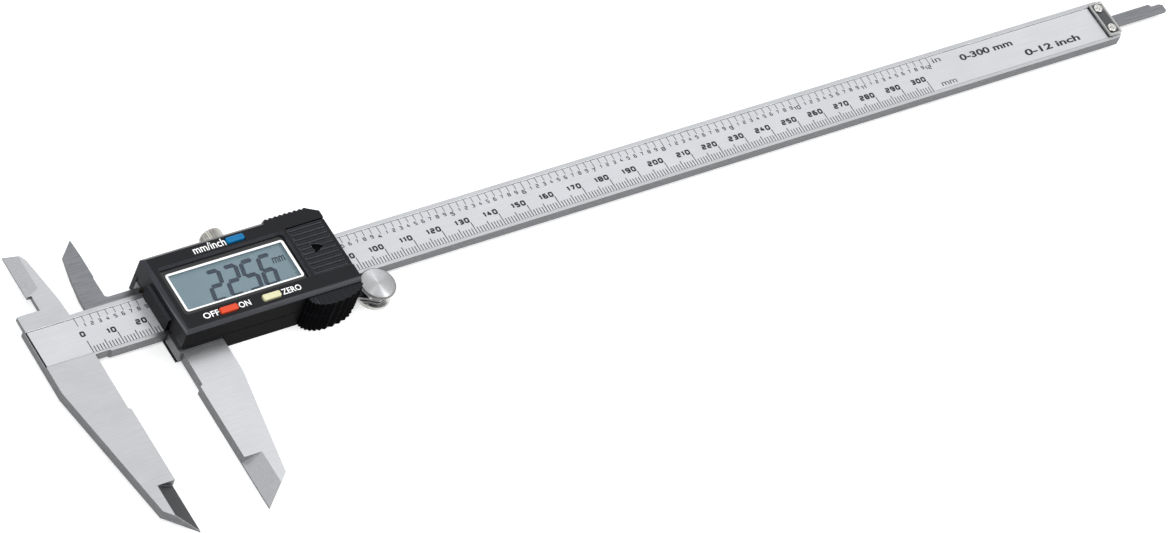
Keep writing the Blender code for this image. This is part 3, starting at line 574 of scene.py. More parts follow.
def eased(points, radius):
    """The same path with its corners rounded off; a closed path ends where it starts."""
    closed = points[0] == points[-1]
    path = [Vector(point) for point in (points[:-1] if closed else points)]
    count = len(path)
    made = []
    for k, here in enumerate(path):
        if not closed and k in (0, count - 1):
            made.append(here)
            continue
        back = path[k - 1] - here
        ahead = path[(k + 1) % count] - here
        reach = min(radius, back.length / 2, ahead.length / 2)
        start = here + back.normalized() * reach
        end = here + ahead.normalized() * reach
        made += [start, (start + end + 2 * here) / 4, end]
    return made, closed


def ribbon(points, width, z0, z1, shape, radius=0.0):
    """A flat stroke of even width along a path, added to a shape."""
    path, closed = eased(points, radius)
    count = len(path)
    left = []
    right = []
    for k, here in enumerate(path):
        before = path[k - 1] if closed or k else here * 2 - path[1]
        after = path[(k + 1) % count] if closed or k < count - 1 else here * 2 - path[k - 1]
        way = (here - before).normalized()
        bend = (way + (after - here).normalized()).normalized()
        across = Vector((-bend.y, bend.x))
        reach = width / 2 / max(0.5, across.dot(Vector((-way.y, way.x))))
        left.append(here + across * reach)
        right.append(here - across * reach)
    loops = [[shape.verts.new((point.x, point.y, z)) for point in side]
             for side, z in ((right, z0), (right, z1), (left, z1), (left, z0))]
    for k, one in enumerate(loops):
        walls(shape, one, loops[(k + 1) % 4], closed)
    if not closed:
        shape.faces.new([loop[0] for loop in loops])
        shape.faces.new([loop[-1] for loop in loops])
    return shape


def lettering(text, x0, x1, y0, y1, z0, z1, shear=0.0, bold=0.0):
    """A word as a solid that just fills a box."""
    curve = bpy.data.curves.new("word", "FONT")
    curve.body = text
    curve.extrude = 0.05
    curve.resolution_u = 4
    curve.shear = shear
    curve.offset = bold
    carrier = bpy.data.objects.new("word", curve)
    bpy.context.collection.objects.link(carrier)
    bpy.context.view_layer.update()
    mesh = bpy.data.meshes.new_from_object(carrier)
    shape = bmesh.new()
    shape.from_mesh(mesh)
    bpy.data.objects.remove(carrier)
    bpy.data.curves.remove(curve)
    bpy.data.meshes.remove(mesh)
    bmesh.ops.remove_doubles(shape, verts=shape.verts, dist=1e-5)
    low = Vector([min(v.co[k] for v in shape.verts) for k in range(3)])
    high = Vector([max(v.co[k] for v in shape.verts) for k in range(3)])
    for v in shape.verts:
        share = [(v.co[k] - low[k]) / (high[k] - low[k]) for k in range(3)]
        v.co = (x0 + share[0] * (x1 - x0), y0 + share[1] * (y1 - y0), z0 + share[2] * (z1 - z0))
    return shape


def merged(*shapes):
    """Several shapes as one."""
    whole = bmesh.new()
    for shape in shapes:
        mesh = bpy.data.meshes.new("part")
        shape.to_mesh(mesh)
        shape.free()
        whole.from_mesh(mesh)
        bpy.data.meshes.remove(mesh)
    return whole


# ------------------------------------------------------------------ pieces
def piece(name, shape, zero, finishes, body, stands_for=(), sharp=32, weighted=True):
    """A named piece from a shape in millimetres, riding on a body of the frame."""
    bmesh.ops.recalc_face_normals(shape, faces=shape.faces)
    shape.transform(Matrix.Translation(zero) @ Matrix.Scale(MM, 4))
    mesh = bpy.data.meshes.new(name)
    shape.to_mesh(mesh)
    shape.free()
    for each in finishes:
        mesh.materials.append(finish(each))
    mesh.shade_smooth()
    mesh.set_sharp_from_angle(angle=math.radians(sharp))
    made = bpy.data.objects.new(name, mesh)
    bpy.context.scene.collection.objects.link(made)
    if weighted:
        even = made.modifiers.new("Even shading", "WEIGHTED_NORMAL")
        even.keep_sharp = True
    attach(made, body)
    if stands_for:
        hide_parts(*stands_for)
    return made


def taken(node, zero):
    """A CAD node's shape in millimetres from a zero point, with its flat faces made whole."""
    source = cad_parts[node].data
    shape = bmesh.new()
    points = [shape.verts.new((v.co - zero) / MM) for v in source.vertices]
    for face in source.polygons:
        shape.faces.new([points[k] for k in face.vertices])
    bmesh.ops.remove_doubles(shape, verts=shape.verts, dist=0.003)
    bmesh.ops.dissolve_limit(shape, angle_limit=math.radians(0.6), verts=shape.verts, edges=shape.edges)
    bmesh.ops.recalc_face_normals(shape, faces=shape.faces)
    return shape


def soften(shape, width, angle=28, segments=2, chosen=None):
    """Round off the edges that are sharper than an angle."""
    edges = []
    for edge in shape.edges:
        if len(edge.link_faces) != 2 or edge.calc_face_angle(0.0) < math.radians(angle):
            continue
        if chosen is None or chosen(edge):
            edges.append(edge)
    bmesh.ops.bevel(shape, geom=edges, offset=width, offset_type="OFFSET", segments=segments,
                    profile=0.5, affect="EDGES", clamp_overlap=True)
    return shape


def carve(shape, *cutters):
    """Cut solids from a shape with exact Booleans."""
    holder = []
    for source in (shape, *cutters):
        bmesh.ops.recalc_face_normals(source, faces=source.faces)
        mesh = bpy.data.meshes.new("carving")
        source.to_mesh(mesh)
        source.free()
        made = bpy.data.objects.new("carving", mesh)
        bpy.context.scene.collection.objects.link(made)
        holder.append(made)
    for cutter in holder[1:]:
        step = holder[0].modifiers.new("Cut", "BOOLEAN")
        step.operation = "DIFFERENCE"
        step.solver = "EXACT"
        step.object = cutter
    bpy.context.view_layer.update()
    result = bpy.data.meshes.new_from_object(holder[0].evaluated_get(bpy.context.evaluated_depsgraph_get()))
    carved = bmesh.new()
    carved.from_mesh(result)
    bpy.data.meshes.remove(result)
    for made in holder:
        mesh = made.data
        bpy.data.objects.remove(made)
        bpy.data.meshes.remove(mesh)
    bmesh.ops.remove_doubles(carved, verts=carved.verts, dist=0.003)
    bmesh.ops.dissolve_limit(carved, angle_limit=math.radians(0.6), verts=carved.verts, edges=carved.edges)
    return carved


def paint(shape, number, test):
    """Give the faces that pass a test the piece's finish of that number."""
    for face in shape.faces:
        if test(face):
            face.material_index = number


def is_wall(face):
    return abs(face.normal.z) < 0.35


def is_slope(face):
    return 0.35 <= abs(face.normal.z) < 0.995 and face.calc_area() > 15


def is_glossy(face):
    """The polished sides of the housing: all but its left end."""
    return abs(face.normal.z) < 0.5 and face.normal.x > -0.8


def is_grip(face):
    """The walls of the swell under the thumb."""
    return abs(face.normal.z) < 0.5 and face.calc_center_median().y < -8.45


def is_bevel(face):
    """The broken edges round the front of the housing and its ribs."""
    return 0.3 < face.normal.z < 0.93


def in_shade(face):
    """The front of the moving inside jaw, which lies deeper than the rest of the steel and is given painted
    shade.
    """
    return face.normal.z > 0.9 and face.calc_center_median().z < -1.5 and face.calc_area() > 5


def repaint(node, *finishes):
    """Give a CAD node that stays as it is a better finish."""
    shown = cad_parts[node]
    shown.data.materials.clear()
    for each in finishes:
        shown.data.materials.append(finish(each))


# ------------------------------------------------------------------ figures
FIGURES = {
    "0": [[(0, 0), (1, 0), (1, 1), (0, 1), (0, 0)]],
    "1": [[(0, 0.78), (0.75, 1), (0.75, 0)]],
    "2": [[(0, 1), (1, 1), (1, 0.5), (0, 0.5), (0, 0), (1, 0)]],
    "3": [[(0, 1), (1, 1), (1, 0), (0, 0)], [(0.2, 0.5), (1, 0.5)]],
    "4": [[(0.55, 1), (0, 0.3), (1, 0.3)], [(0.75, 0.62), (0.75, 0)]],
    "5": [[(1, 1), (0, 1), (0, 0.55), (1, 0.55), (1, 0), (0, 0)]],
    "6": [[(0.95, 1), (0, 1), (0, 0), (1, 0), (1, 0.52), (0, 0.52)]],
    "7": [[(0, 1), (1, 1), (0.4, 0)]],
    "8": [[(0, 0), (1, 0), (1, 1), (0, 1), (0, 0)], [(0, 0.5), (1, 0.5)]],
    "9": [[(0.05, 0), (1, 0), (1, 1), (0, 1), (0, 0.48), (1, 0.48)]],
}
SEGMENTS = {
    "a": ((0, 2), (1, 2)), "b": ((1, 2), (1, 1)), "c": ((1, 1), (1, 0)), "d": ((0, 0), (1, 0)),
    "e": ((0, 1), (0, 0)), "f": ((0, 2), (0, 1)), "g": ((0, 1), (1, 1)),
}
LIT = {
    "0": "abcdef", "1": "bc", "2": "abged", "3": "abgcd", "4": "fgbc",
    "5": "afgcd", "6": "afgedc", "7": "abc", "8": "abcdefg", "9": "abcdfg",
}


def number(text, right, low, height, wide, stroke, z0, z1, shape, gap=0.3):
    """Figures in a square stroke face, ending at a given place along X."""
    x = right
    for figure in reversed(text):
        across = wide * (0.62 if figure == "1" else 1.0)
        x -= across
        for layer, path in enumerate(FIGURES[figure]):
            points = [(x + stroke / 2 + u * (across - stroke), low + stroke / 2 + v * (height - stroke))
                      for u, v in path]
            ribbon(points, stroke, z0, z1 + 0.001 * layer, shape, 0.55 * stroke)
        x -= gap
    return shape


def bar(start, end, width, z0, z1, shape):
    """One bar of a display figure: a long hexagon between two places."""
    a = Vector(start)
    b = Vector(end)
    way = (b - a).normalized()
    side = Vector((-way.y, way.x)) * width / 2
    tip = way * width * 0.08
    neck = way * width * 0.42
    outline = [a + tip, a + neck - side, b - neck - side, b - tip, b - neck + side, a + neck + side]
    return prism([tuple(point) for point in outline], z0, z1, shape)


# words on the cover: text, left, right, foot, head, how much bolder
WORDS = (
    ("mm/inch", 16.1, 26.75, 15.4, 18.0, 0.008),
    ("OFF", 7.6, 12.8, -5.65, -3.7, 0.012),
    ("ON", 19.4, 23.2, -5.6, -3.65, 0.012),
    ("ZERO", 33.8, 40.1, -5.65, -3.7, 0.012),
)


# ------------------------------------------------------------------ operators
class CALIPER_OT_stage(bpy.types.Operator):
    """Set the camera, the soft lights and the pale floor"""
    bl_idname = "caliper.stage"
    bl_label = "Stage"

    def execute(self, context):
        scene = context.scene
        scene.view_settings.view_transform = "Standard"
        camera = bpy.data.cameras.new("camera")
        camera.lens = 174.32
        camera.sensor_width = 36.0
        viewer = bpy.data.objects.new("camera", camera)
        viewer.location = (-0.898903, -0.682801, 1.238336)
        viewer.rotation_euler = [math.radians(a) for a in (38.5527, -16.9933, -31.8817)]
        scene.collection.objects.link(viewer)
        scene.camera = viewer

        shape = block(-6000, 6000, -6000, 6000, -20, -0.05)
        shape.transform(Matrix.Scale(MM, 4))
        mesh = bpy.data.meshes.new("floor")
        shape.to_mesh(mesh)
        shape.free()
        floor = bpy.data.objects.new("floor", mesh)
        scene.collection.objects.link(floor)
        paper = Finish("pale_floor", (0.93, 0.93, 0.93), 0.8, 0.0, Emission_Strength=0.36,
                       Emission_Color=(1, 1, 1), Specular_IOR_Level=0.1)
        fibres = paper.noise(3.0, 2.0)
        paper.feed(Base_Color=paper.blend(fibres, (0.92, 0.92, 0.92), (0.95, 0.95, 0.95)))
        mesh.materials.append(paper.material)

        world = bpy.data.worlds.new("studio")
        scene.world = world
        world.use_nodes = True
        sky = Nodes(world.node_tree)
        way = sky.add("TexCoord", output=0)
        across = sky.add("SeparateXYZ", None, {0: way}, 0)
        overhead = sky.add("SeparateXYZ", None, {0: way}, 2).above(0.25, 0.5)

        def softbox(place, spread, fade):
            """A long lamp overhead that runs along Y; spread is the square of half its width."""
            off = across - place
            return (1 - (off * off).above(spread, fade)) * overhead

        strip = softbox(0.5, 0.03, 0.04)
        band = softbox(-0.1, 0.09, 0.08)
        glow = 0.34 + overhead * 0.1 + strip * 0.95 + band * 0.36
        sky.tree.links.new(glow.socket, world.node_tree.nodes["Background"].inputs["Strength"])
        world.node_tree.nodes["Background"].inputs["Color"].default_value = (0.98, 0.99, 1.0, 1.0)

        self.sun(scene, "key", Vector((-0.6, -0.3, 1.0)), 0.95, 25)
        self.sun(scene, "side", Vector((0.5, -0.2, 0.85)), 0.35, 12)
        return {"FINISHED"}

    def sun(self, scene, name, way, strength, spread):
        """A soft distant lamp that shines from a direction."""
        light = bpy.data.lights.new(name, "SUN")
        light.energy = strength
        light.angle = math.radians(spread)
        made = bpy.data.objects.new(name, light)
        made.location = way
        made.rotation_euler = (-way).to_track_quat("-Z", "Y").to_euler()
        scene.collection.objects.link(made)


class CALIPER_OT_beam(bpy.types.Operator):
    """Build the beam with its two fixed jaws, and finish what lies in its grooves"""
    bl_idname = "caliper.beam"
    bl_label = "Beam and fixed jaws"

    def execute(self, context):
        shape = soften(taken("beam", BEAM_ZERO), size("steel_edge"))
        # painted shade on the beam's side walls
        paint(shape, 1, is_wall)
        # painted light on the slopes at positive Y
        paint(shape, 2, lambda face: is_slope(face) and face.calc_center_median().y > 0)
        # painted shade on the slopes at negative Y
        paint(shape, 3, lambda face: is_slope(face) and face.calc_center_median().y < 0)
        piece("beam_ground", shape, BEAM_ZERO, ("ground_steel", "steel_side", "blade_steel", "blade_shade"),
              "beam_body", ("beam",), PARTED)
        repaint("scale_circuit_strip", "etched_strip")
        return {"FINISHED"}


class CALIPER_OT_stop_plate(bpy.types.Operator):
    """Build the end stop: a plate with a bright rim round a dark recess, and its two screws"""
    bl_idname = "caliper.stop_plate"
    bl_label = "End stop plate"

    def execute(self, context):
        low, high = span("beam_stop_plate", BEAM_ZERO)
        rim = 0.75
        floor = high.z - 0.22
        pocket = loft([(rounded(low.x + rim, high.x - rim, low.y + rim, high.y - rim, 0.3), floor),
                       (rounded(low.x + rim - 0.25, high.x - rim + 0.25, low.y + rim - 0.25,
                                high.y - rim + 0.25, 0.5), high.z + 0.03)])
        shape = soften(carve(taken("beam_stop_plate", BEAM_ZERO), pocket), size("plate_edge"), 35, 2,
                       lambda edge: all(v.co.z > high.z - 0.02 for v in edge.verts))
        paint(shape, 1, lambda face: face.normal.z > 0.9 and face.calc_center_median().z < high.z - 0.1)
        piece("stop_plate_pressed", shape, BEAM_ZERO, ("rim_nickel", "recess_plate"), "beam_body",
              ("beam_stop_plate",))
        for k in (1, 2):
            node = f"stop_plate_screw_{k}"
            piece(node + "_head", soften(taken(node, BEAM_ZERO), 0.06, 35), BEAM_ZERO,
                  ("nickel_plating",), "beam_body", (node,))
        return {"FINISHED"}


class CALIPER_OT_scale(bpy.types.Operator):
    """Build the silver label with its millimetre and inch scales"""
    bl_idname = "caliper.scale"
    bl_label = "Scale label"

    def execute(self, context):
        low, high = span("scale_label", SCALE_ZERO)
        self.z0 = LABEL_FACE - PRINT_SINK
        self.z1 = LABEL_FACE + size("ink")
        edge = rounded(low.x, high.x, -0.27, 12.0, 0.2, 2)
        piece("label_film", prism(edge, LABEL_BACK, LABEL_FACE), SCALE_ZERO, ("label_film",),
              "beam_body", ("scale_label",), weighted=False)
        self.print_on("ticks_mm", self.millimetre_lines())
        self.print_on("numbers_mm", self.centimetre_numbers())
        self.print_on("ticks_inch", self.inch_lines())
        self.print_on("numbers_inch", self.inch_numbers())
        self.print_on("edge_line", self.edge_line(low.x + 0.3, high.x - 0.4))
        unit_in = lettering("in", 306.3, 309.3, 9.3, 11.2, self.z0, self.z1)
        unit_mm = lettering("mm", 304.2, 309.9, 0.55, 1.9, self.z0, self.z1)
        self.print_on("unit_words", merged(unit_in, unit_mm))
        range_mm = lettering("0-300 mm", 316.0, 336.5, 7.1, 9.45, self.z0, self.z1, 0.0, 0.03)
        range_in = lettering("0-12 inch", 338.5, 360.2, 1.9, 4.3, self.z0, self.z1, 0.0, 0.03)
        self.print_on("range_words", merged(range_mm, range_in))
        return {"FINISHED"}

    def print_on(self, name, shape):
        piece(name, shape, SCALE_ZERO, ("scale_ink",), "beam_body", weighted=False)

    def line(self, x, y0, y1, width, shape):
        block(x - width / 2, x + width / 2, y0, y1, self.z0, self.z1, shape)

    def millimetre_lines(self):
        shape = bmesh.new()
        long, middle, short = 3.9, 2.74, 1.81
        for k in range(301):
            top = long if k % 10 == 0 else middle if k % 5 == 0 else short
            self.line(k, -0.25, top, size("tick"), shape)
        return shape

    def centimetre_numbers(self):
        shape = bmesh.new()
        wide = 1.65
        height = size("figure")
        stroke = size("figure_stroke")
        number("0", 0.7, 5.4, height, wide, stroke, self.z0, self.z1, shape)
        for k in range(1, 31):
            number(str(10 * k), 10 * k, 3.95, height, wide, stroke, self.z0, self.z1, shape)
        return shape

    def inch_lines(self):
        shape = bmesh.new()
        for k in range(121):
            foot = 9.05 if k % 10 == 0 else 9.95
            self.line(k * INCH / 10, foot, 11.9, size("inch_tick"), shape)
        return shape

    def inch_numbers(self):
        shape = bmesh.new()
        for k in range(1, 121):
            x = k * INCH / 10
            if k % 10:
                number(str(k % 10), x - 0.1, 8.3, 1.3, 1.0, 0.25, self.z0, self.z1, shape)
            else:
                number(str(k // 10), x, 7.7, 1.4, 1.3, 0.3, self.z0, self.z1, shape, 0.2)
        return shape

    def edge_line(self, x0, x1):
        shape = bmesh.new()
        x = x0
        count = 0
        while x < x1:
            run = 7.0 + 5.0 * math.sin(3.7 * count)
            block(x, min(x + run, x1), 11.9, 11.98, self.z0, self.z1, shape)
            x += run + 0.35
            count += 1
        return shape


class CALIPER_OT_slider_steel(bpy.types.Operator):
    """Build the moving jaws, the plates behind them, the depth rod and the screws"""
    bl_idname = "caliper.slider_steel"
    bl_label = "Slider steel"

    def execute(self, context):
        shape = soften(taken("slider_frame", SLIDER_ZERO), size("steel_edge"))
        # painted shade on the slider's side walls
        paint(shape, 1, is_wall)
        # painted light on the slider's slopes
        paint(shape, 2, is_slope)
        # painted shade on the deeper front of the moving inside jaw
        paint(shape, 3, in_shade)
        # the moving jaws' faces carry painted light: a brighter copy of the ground steel
        piece("slider_frame_ground", shape, SLIDER_ZERO,
              ("ground_pale", "steel_side", "blade_steel", "rod_steel"), "slider",
              ("slider_frame",), PARTED)
        self.plate("slider_back_plate", "grey_plating", "grey_plate")
        self.plate("roller_bracket", "spring_plating", "spring_steel")
        # painted shade on the depth rod's side walls
        self.plate("depth_rod", "rod_steel", "stainless", "steel_side")
        self.plate("gib_strip", "worn_brass", "brass")
        for node in sorted(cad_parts):
            if node.startswith(("back_plate_screw", "cover_screw", "bracket_screw", "depth_rod_rivet")):
                self.screw_head(node)
            elif node.startswith(("gib_set_screw", "board_screw")):
                repaint(node, "nickel_plating")
        repaint("lock_pad", "worn_brass")
        return {"FINISHED"}

    def plate(self, node, face, slot, wall=None):
        shape = soften(taken(node, SLIDER_ZERO), size("plate_edge"))
        if wall:
            paint(shape, 1, is_wall)
        finishes = (face, wall) if wall else (face,)
        piece(node + "_finished", shape, SLIDER_ZERO, finishes, "slider", (node,))

    def screw_head(self, node):
        """A pan head with a cross slot cut from the back."""
        low, high = span(node, SLIDER_ZERO)
        x = (low.x + high.x) / 2
        y = (low.y + high.y) / 2
        reach = (high.x - low.x) * 0.3
        half = 0.14
        depth = low.z + 0.28
        slots = [block(x - reach, x + reach, y - half, y + half, low.z - 1, depth),
                 block(x - half, x + half, y - reach, y + reach, low.z - 1, depth)]
        if node == "depth_rod_rivet":
            slots = [prism(rounded(x - 0.5, x + 0.5, y - 0.5, y + 0.5, 0.45), low.z - 1, low.z + 0.15)]
        shape = soften(carve(taken(node, SLIDER_ZERO), *slots), 0.05, 35)
        piece(node + "_head", shape, SLIDER_ZERO, ("nickel_plating",), "slider", (node,))


class CALIPER_OT_housing(bpy.types.Operator):
    """Build the front cover, the rear shell and the battery cover"""
    bl_idname = "caliper.housing"
    bl_label = "Housing"

    def execute(self, context):
        width = size("plastic_edge")
        shape = soften(taken("front_cover", SLIDER_ZERO), width, 30, 2)
        shape = carve(shape, self.grip_grooves(), self.beyond_corner())
        # painted shade on the glossy sides of the front cover
        paint(shape, 1, is_glossy)
        # painted highlight on the broken edges
        paint(shape, 2, is_bevel)
        # painted highlight on the tops at the left end
        paint(shape, 2, lambda each: each.normal.z > 0.5 and each.calc_center_median().x < 0.25)
        # painted shade on the walls of the grip
        paint(shape, 3, is_grip)
        piece("front_cover_moulded", shape, SLIDER_ZERO,
              ("housing_face", "housing_side", "housing_edge", "grip_side"), "slider",
              ("front_cover",))
        shape = carve(taken("rear_shell", SLIDER_ZERO), self.beyond_corner())
        shape = soften(shape, width, 30, 2)
        # painted shade on the glossy sides of the rear shell
        paint(shape, 1, is_glossy)
        # painted shade on the rear shell's grip walls
        paint(shape, 2, is_grip)
        piece("rear_shell_moulded", shape, SLIDER_ZERO, ("housing_face", "housing_side", "grip_side"),
              "slider", ("rear_shell",))
        arrow = prism([(50.5, 8.0), (50.5, 4.25), (54.5, 6.1)], COVER_FACE - 0.75, COVER_FACE + 1)
        shape = soften(carve(taken("battery_cover", SLIDER_ZERO), arrow), 0.12, 35, 2,
                       lambda edge: all(v.co.z > 8.1 for v in edge.verts))
        # painted shade in the grooves between the ribs and in the arrow's recess
        paint(shape, 1, lambda each: 7.7 < each.calc_center_median().z < 8.3 and each.normal.z > -0.5)
        # painted highlight on the rib crests
        paint(shape, 2, is_bevel)
        piece("battery_cover_moulded", shape, SLIDER_ZERO, ("housing_face", "housing_side", "rib_edge"),
              "battery_hatch", ("battery_cover",))
        return {"FINISHED"}

    def beyond_corner(self):
        """A cutter that keeps inner ribs from poking through the cut corner of the housing."""
        start, end = (Vector(point) for point in CORNER)
        along = (end - start).normalized()
        out = Vector((along.y, -along.x)) * 4
        return prism([tuple(start), tuple(start + out), tuple(end + out), tuple(end)], -6, 9)

    def grip_grooves(self):
        """A cutter that carries the valleys of the thumb grip across its flat top."""
        half = 0.3
        depth = 0.4
        wedges = []
        for k in range(1, GRIP_TEETH):
            a = math.pi * k / GRIP_TEETH
            reach = GRIP_LEFT if a < math.pi / 2 else GRIP_RIGHT
            x = GRIP_PEAK - reach * math.cos(a)
            y = GRIP_WALL - GRIP_SWELL * math.sin(a)
            wedges.append(wedge(x, half, y - 0.8, GRIP_WALL, GRIP_FLAT, depth))
        return merged(*wedges)


class CALIPER_OT_cover_words(bpy.types.Operator):
    """Print the words for the keys on the front cover"""
    bl_idname = "caliper.cover_words"
    bl_label = "Words on the cover"

    def execute(self, context):
        z0 = COVER_FACE - 0.01
        z1 = COVER_FACE + size("ink")
        print_shapes = [lettering(text, x0, x1, y0, y1, z0, z1, 0.0, bold)
                        for text, x0, x1, y0, y1, bold in WORDS]
        # the words are printed in white ink with painted glow
        piece("cover_words", merged(*print_shapes), SLIDER_ZERO, ("white_ink",), "slider", weighted=False)
        return {"FINISHED"}


class CALIPER_OT_display(bpy.types.Operator):
    """Build the window, its printed border, the display face and the figures on it"""
    bl_idname = "caliper.display"
    bl_label = "Display"

    def execute(self, context):
        self.window()
        self.face()
        self.figures()
        return {"FINISHED"}

    def window(self):
        low, high = span("display_window", SLIDER_ZERO)
        shape = soften(taken("display_window", SLIDER_ZERO), 0.1, 40, 2)
        piece("window_clear", shape, SLIDER_ZERO, ("clear_acrylic",), "slider",
              ("display_window",))
        top = high.z
        line_out = rounded(4.75, 44.2, -0.88, 12.65, 0.9)
        line_in = rounded(5.45, 43.35, -0.38, 11.95, 0.35)
        border = rounded(low.x + 0.2, high.x - 0.2, low.y + 0.2, high.y - 0.2, 0.9)
        piece("window_border", ring(border, line_out, top, top + 0.015), SLIDER_ZERO, ("mask_ink",),
              "slider", weighted=False)
        # the white line is printed in white ink with painted glow
        piece("window_line", ring(line_out, line_in, top, top + 0.03), SLIDER_ZERO, ("white_ink",),
              "slider", weighted=False)

    def face(self):
        low, high = span("lcd_glass", SLIDER_ZERO)
        shape = soften(block(low.x, high.x, low.y, high.y, low.z, LCD_FACE), 0.08, 40, 2)
        piece("lcd_polariser", shape, SLIDER_ZERO, ("lcd_face",), "slider", ("lcd_glass",))

    def figures(self):
        z0 = LCD_FACE - 0.01
        z1 = LCD_FACE + 0.02
        shape = bmesh.new()
        left = 14.4
        foot = -0.55
        height = 11.1
        lean = 2.3
        wide = 5.25
        pitch = 5.75
        width = size("segment")
        half = width / 2

        def at(x, u, v):
            y = foot + half + v / 2 * (height - width)
            return (x + half + u * (wide - width) + lean * (y - foot) / height, y)

        x = left
        for sign in bpy.context.scene.caliper_sizes.reading:
            if sign == ".":
                block(x - 0.7, x + 0.15, foot, foot + 0.9, z0, z1, shape)
                continue
            for name in LIT[sign]:
                start, end = SEGMENTS[name]
                bar(at(x, *start), at(x, *end), width, z0, z1, shape)
            x += pitch
        piece("lcd_figures", shape, SLIDER_ZERO, ("lcd_segment",), "slider", weighted=False)
        unit = lettering("mm", 38.0, 42.4, 6.4, 8.4, z0, z1, 0.2, 0.025)
        piece("lcd_unit", unit, SLIDER_ZERO, ("lcd_segment",), "slider", weighted=False)


class CALIPER_OT_keys(bpy.types.Operator):
    """Build the three key caps with rounded top edges"""
    bl_idname = "caliper.keys"
    bl_label = "Keys"

    def execute(self, context):
        for node, tone, slot, body in (
                ("button_mm_inch", "blue_plastic", "key_blue", "key_mm_inch"),
                ("button_off_on", "red_plastic", "key_red", "key_off_on"),
                ("button_zero", "cream_plastic", "key_cream", "key_zero")):
            shape = soften(taken(node, SLIDER_ZERO), 0.18, 20, 3,
                           lambda edge: all(v.co.z > 9.0 for v in edge.verts))
            piece(node + "_cap", shape, SLIDER_ZERO, (tone,), body, (node,), 60)
        return {"FINISHED"}


class CALIPER_OT_roller(bpy.types.Operator):
    """Build the knurled thumb roller and its axle"""
    bl_idname = "caliper.roller"
    bl_label = "Thumb roller"

    def execute(self, context):
        low, high = span("thumb_roller", SLIDER_ZERO)
        x = (low.x + high.x) / 2
        y = (low.y + high.y) / 2
        top = high.z
        rim = (high.x - low.x) / 2
        neck = 3.4
        bore = 1.7
        knurl = 0.22
        tread = 4.95
        profile = [(0, top - 0.05, 0), (0.5, top, 0), (rim - 0.45, top, 0), (rim - 0.25, top - 0.08, 0),
                   (rim, top - 0.3, 1), (rim, 0.35, 1), (rim - 0.25, 0.25, 0), (tread, 0.22, 1),
                   (tread, -0.35, 1), (tread - 0.25, -0.5, 0), (neck, -0.5, 0), (neck, low.z, 0),
                   (bore, low.z, 0), (bore, -0.6, 0), (0, -0.6, 0)]
        shape = turned(profile, 2 * bpy.context.scene.caliper_sizes.roller_teeth, "Z", (x, y, 0), knurl)
        bmesh.ops.recalc_face_normals(shape, faces=shape.faces)
        reach = rim - 0.3

        def outside_face(face):
            middle = face.calc_center_median()
            return middle.z < top - 0.03 or math.hypot(middle.x - x, middle.y - y) > reach

        # painted shade on the knurl band, the neck and the underside
        paint(shape, 1, outside_face)
        piece("roller_knurled", shape, SLIDER_ZERO, ("roller_turned", "roller_knurl"), "roller",
              ("thumb_roller",), 25, False)
        self.axle(x, y, knurl)
        return {"FINISHED"}

    def axle(self, x, y, knurl):
        low, high = span("roller_axle", SLIDER_ZERO)
        rim = (high.x - low.x) / 2
        disc = -4.1
        thin = 1.4
        profile = [(0, low.z + 0.12, 0), (2.2, low.z, 0), (rim - 0.3, low.z, 0), (rim, low.z + 0.2, 1),
                   (rim, disc - 0.2, 1), (rim - 0.2, disc, 0), (thin, disc, 0), (thin, high.z, 0),
                   (0, high.z, 0)]
        shape = turned(profile, 2 * bpy.context.scene.caliper_sizes.roller_teeth, "Z", (x, y, 0), knurl)
        piece("roller_axle_turned", shape, SLIDER_ZERO, ("nickel_plating",), "slider",
              ("roller_axle",), 25, False)


class CALIPER_OT_lock_knob(bpy.types.Operator):
    """Build the knurled lock screw on the upper side"""
    bl_idname = "caliper.lock_knob"
    bl_label = "Lock knob"

    def execute(self, context):
        low, high = span("lock_screw", SLIDER_ZERO)
        x = (low.x + high.x) / 2
        z = (low.z + high.z) / 2
        knob = (high.z - low.z) / 2
        shank = 1.0
        collar = 19.9
        foot = collar + 0.9
        profile = [(0, low.y, 0), (0.7, low.y, 0), (shank, low.y + 0.3, 0), (shank, collar, 0),
                   (2.4, collar, 0), (2.4, foot, 0), (knob - 0.4, foot, 0), (knob, foot + 0.45, 1),
                   (knob, high.y - 0.55, 1), (knob - 0.35, high.y - 0.12, 0), (knob - 0.6, high.y, 0),
                   (1.2, high.y, 0), (0.9, high.y - 0.15, 0), (0, high.y - 0.15, 0)]
        shape = turned(profile, 2 * bpy.context.scene.caliper_sizes.knob_teeth, "Y", (x, 0, z), 0.3)
        piece("lock_knob_knurled", shape, SLIDER_ZERO, ("knob_nickel",), "lock_knob",
              ("lock_screw",), 25, False)
        return {"FINISHED"}


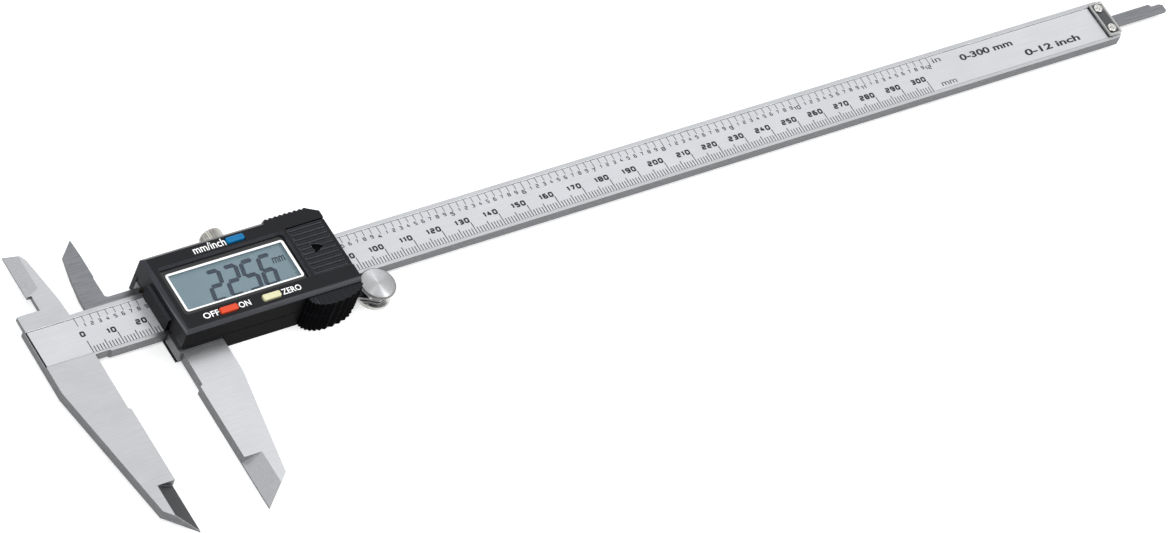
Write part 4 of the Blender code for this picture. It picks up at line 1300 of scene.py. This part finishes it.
class CALIPER_OT_inner_parts(bpy.types.Operator):
    """Finish the circuit board, the connector, the cell and its contacts"""
    bl_idname = "caliper.inner_parts"
    bl_label = "Inner parts"

    def execute(self, context):
        shape = soften(taken("circuit_board", SLIDER_ZERO), 0.08, 40, 1)
        piece("circuit_board_made", shape, SLIDER_ZERO, ("board_lacquer",), "slider",
              ("circuit_board",))
        repaint("zebra_connector", "striped_rubber")
        for node in sorted(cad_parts):
            if node.startswith(("switch_dome", "battery_contact")):
                repaint(node, "tin_plating")
        self.cell()
        return {"FINISHED"}

    def cell(self):
        """A coin cell: rolled edge, a stepped face and an embossed plus sign."""
        low, high = span("battery_cell", SLIDER_ZERO)
        x = (low.x + high.x) / 2
        y = (low.y + high.y) / 2
        rim = (high.x - low.x) / 2
        top = high.z
        profile = [(0, low.z, 0), (rim - 0.9, low.z, 0), (rim - 0.9, low.z + 0.5, 0), (rim, low.z + 0.8, 0),
                   (rim, top - 0.35, 0), (rim - 0.12, top - 0.1, 0), (rim - 0.4, top, 0),
                   (rim - 0.9, top, 0), (rim - 1.1, top - 0.1, 0), (0, top - 0.1, 0)]
        can = turned(profile, 72, "Z", (x, y, 0))
        arm = 1.3
        half = 0.28
        plus = [block(x - arm, x + arm, y - half, y + half, top - 0.15, top - 0.02),
                block(x - half, x + half, y - arm, y + arm, top - 0.15, top - 0.021)]
        piece("coin_cell", merged(can, *plus), SLIDER_ZERO, ("tin_plating",), "slider",
              ("battery_cell",), 25, False)


OPERATORS = (
    CALIPER_OT_stage, CALIPER_OT_beam, CALIPER_OT_stop_plate, CALIPER_OT_scale,
    CALIPER_OT_slider_steel, CALIPER_OT_housing, CALIPER_OT_cover_words, CALIPER_OT_display,
    CALIPER_OT_keys, CALIPER_OT_roller, CALIPER_OT_lock_knob, CALIPER_OT_inner_parts,
)


class CALIPER_PT_panel(bpy.types.Panel):
    """Lists what can be built, with the sizes and colours it uses"""
    bl_idname = "CALIPER_PT_panel"
    bl_label = "Digital caliper"
    bl_space_type = "VIEW_3D"
    bl_region_type = "UI"
    bl_category = "Caliper"

    def draw(self, context):
        column = self.layout.column(align=True)
        for each in OPERATORS:
            column.operator(each.bl_idname, text=each.bl_label)
        for group in (context.scene.caliper_sizes, context.scene.caliper_colours):
            box = self.layout.box()
            for name in group.bl_rna.properties.keys():
                if name not in ("rna_type", "name"):
                    box.prop(group, name)


CLASSES = (CaliperSizes, CaliperColours, *OPERATORS, CALIPER_PT_panel)


def register():
    for each in CLASSES:
        bpy.utils.register_class(each)
    bpy.types.Scene.caliper_sizes = PointerProperty(type=CaliperSizes)
    bpy.types.Scene.caliper_colours = PointerProperty(type=CaliperColours)


def unregister():
    del bpy.types.Scene.caliper_colours
    del bpy.types.Scene.caliper_sizes
    for each in reversed(CLASSES):
        bpy.utils.unregister_class(each)


def main():
    register()
    for each in OPERATORS:
        group, name = each.bl_idname.split(".")
        getattr(getattr(bpy.ops, group), name)()


if __name__ == "__main__":
    main()
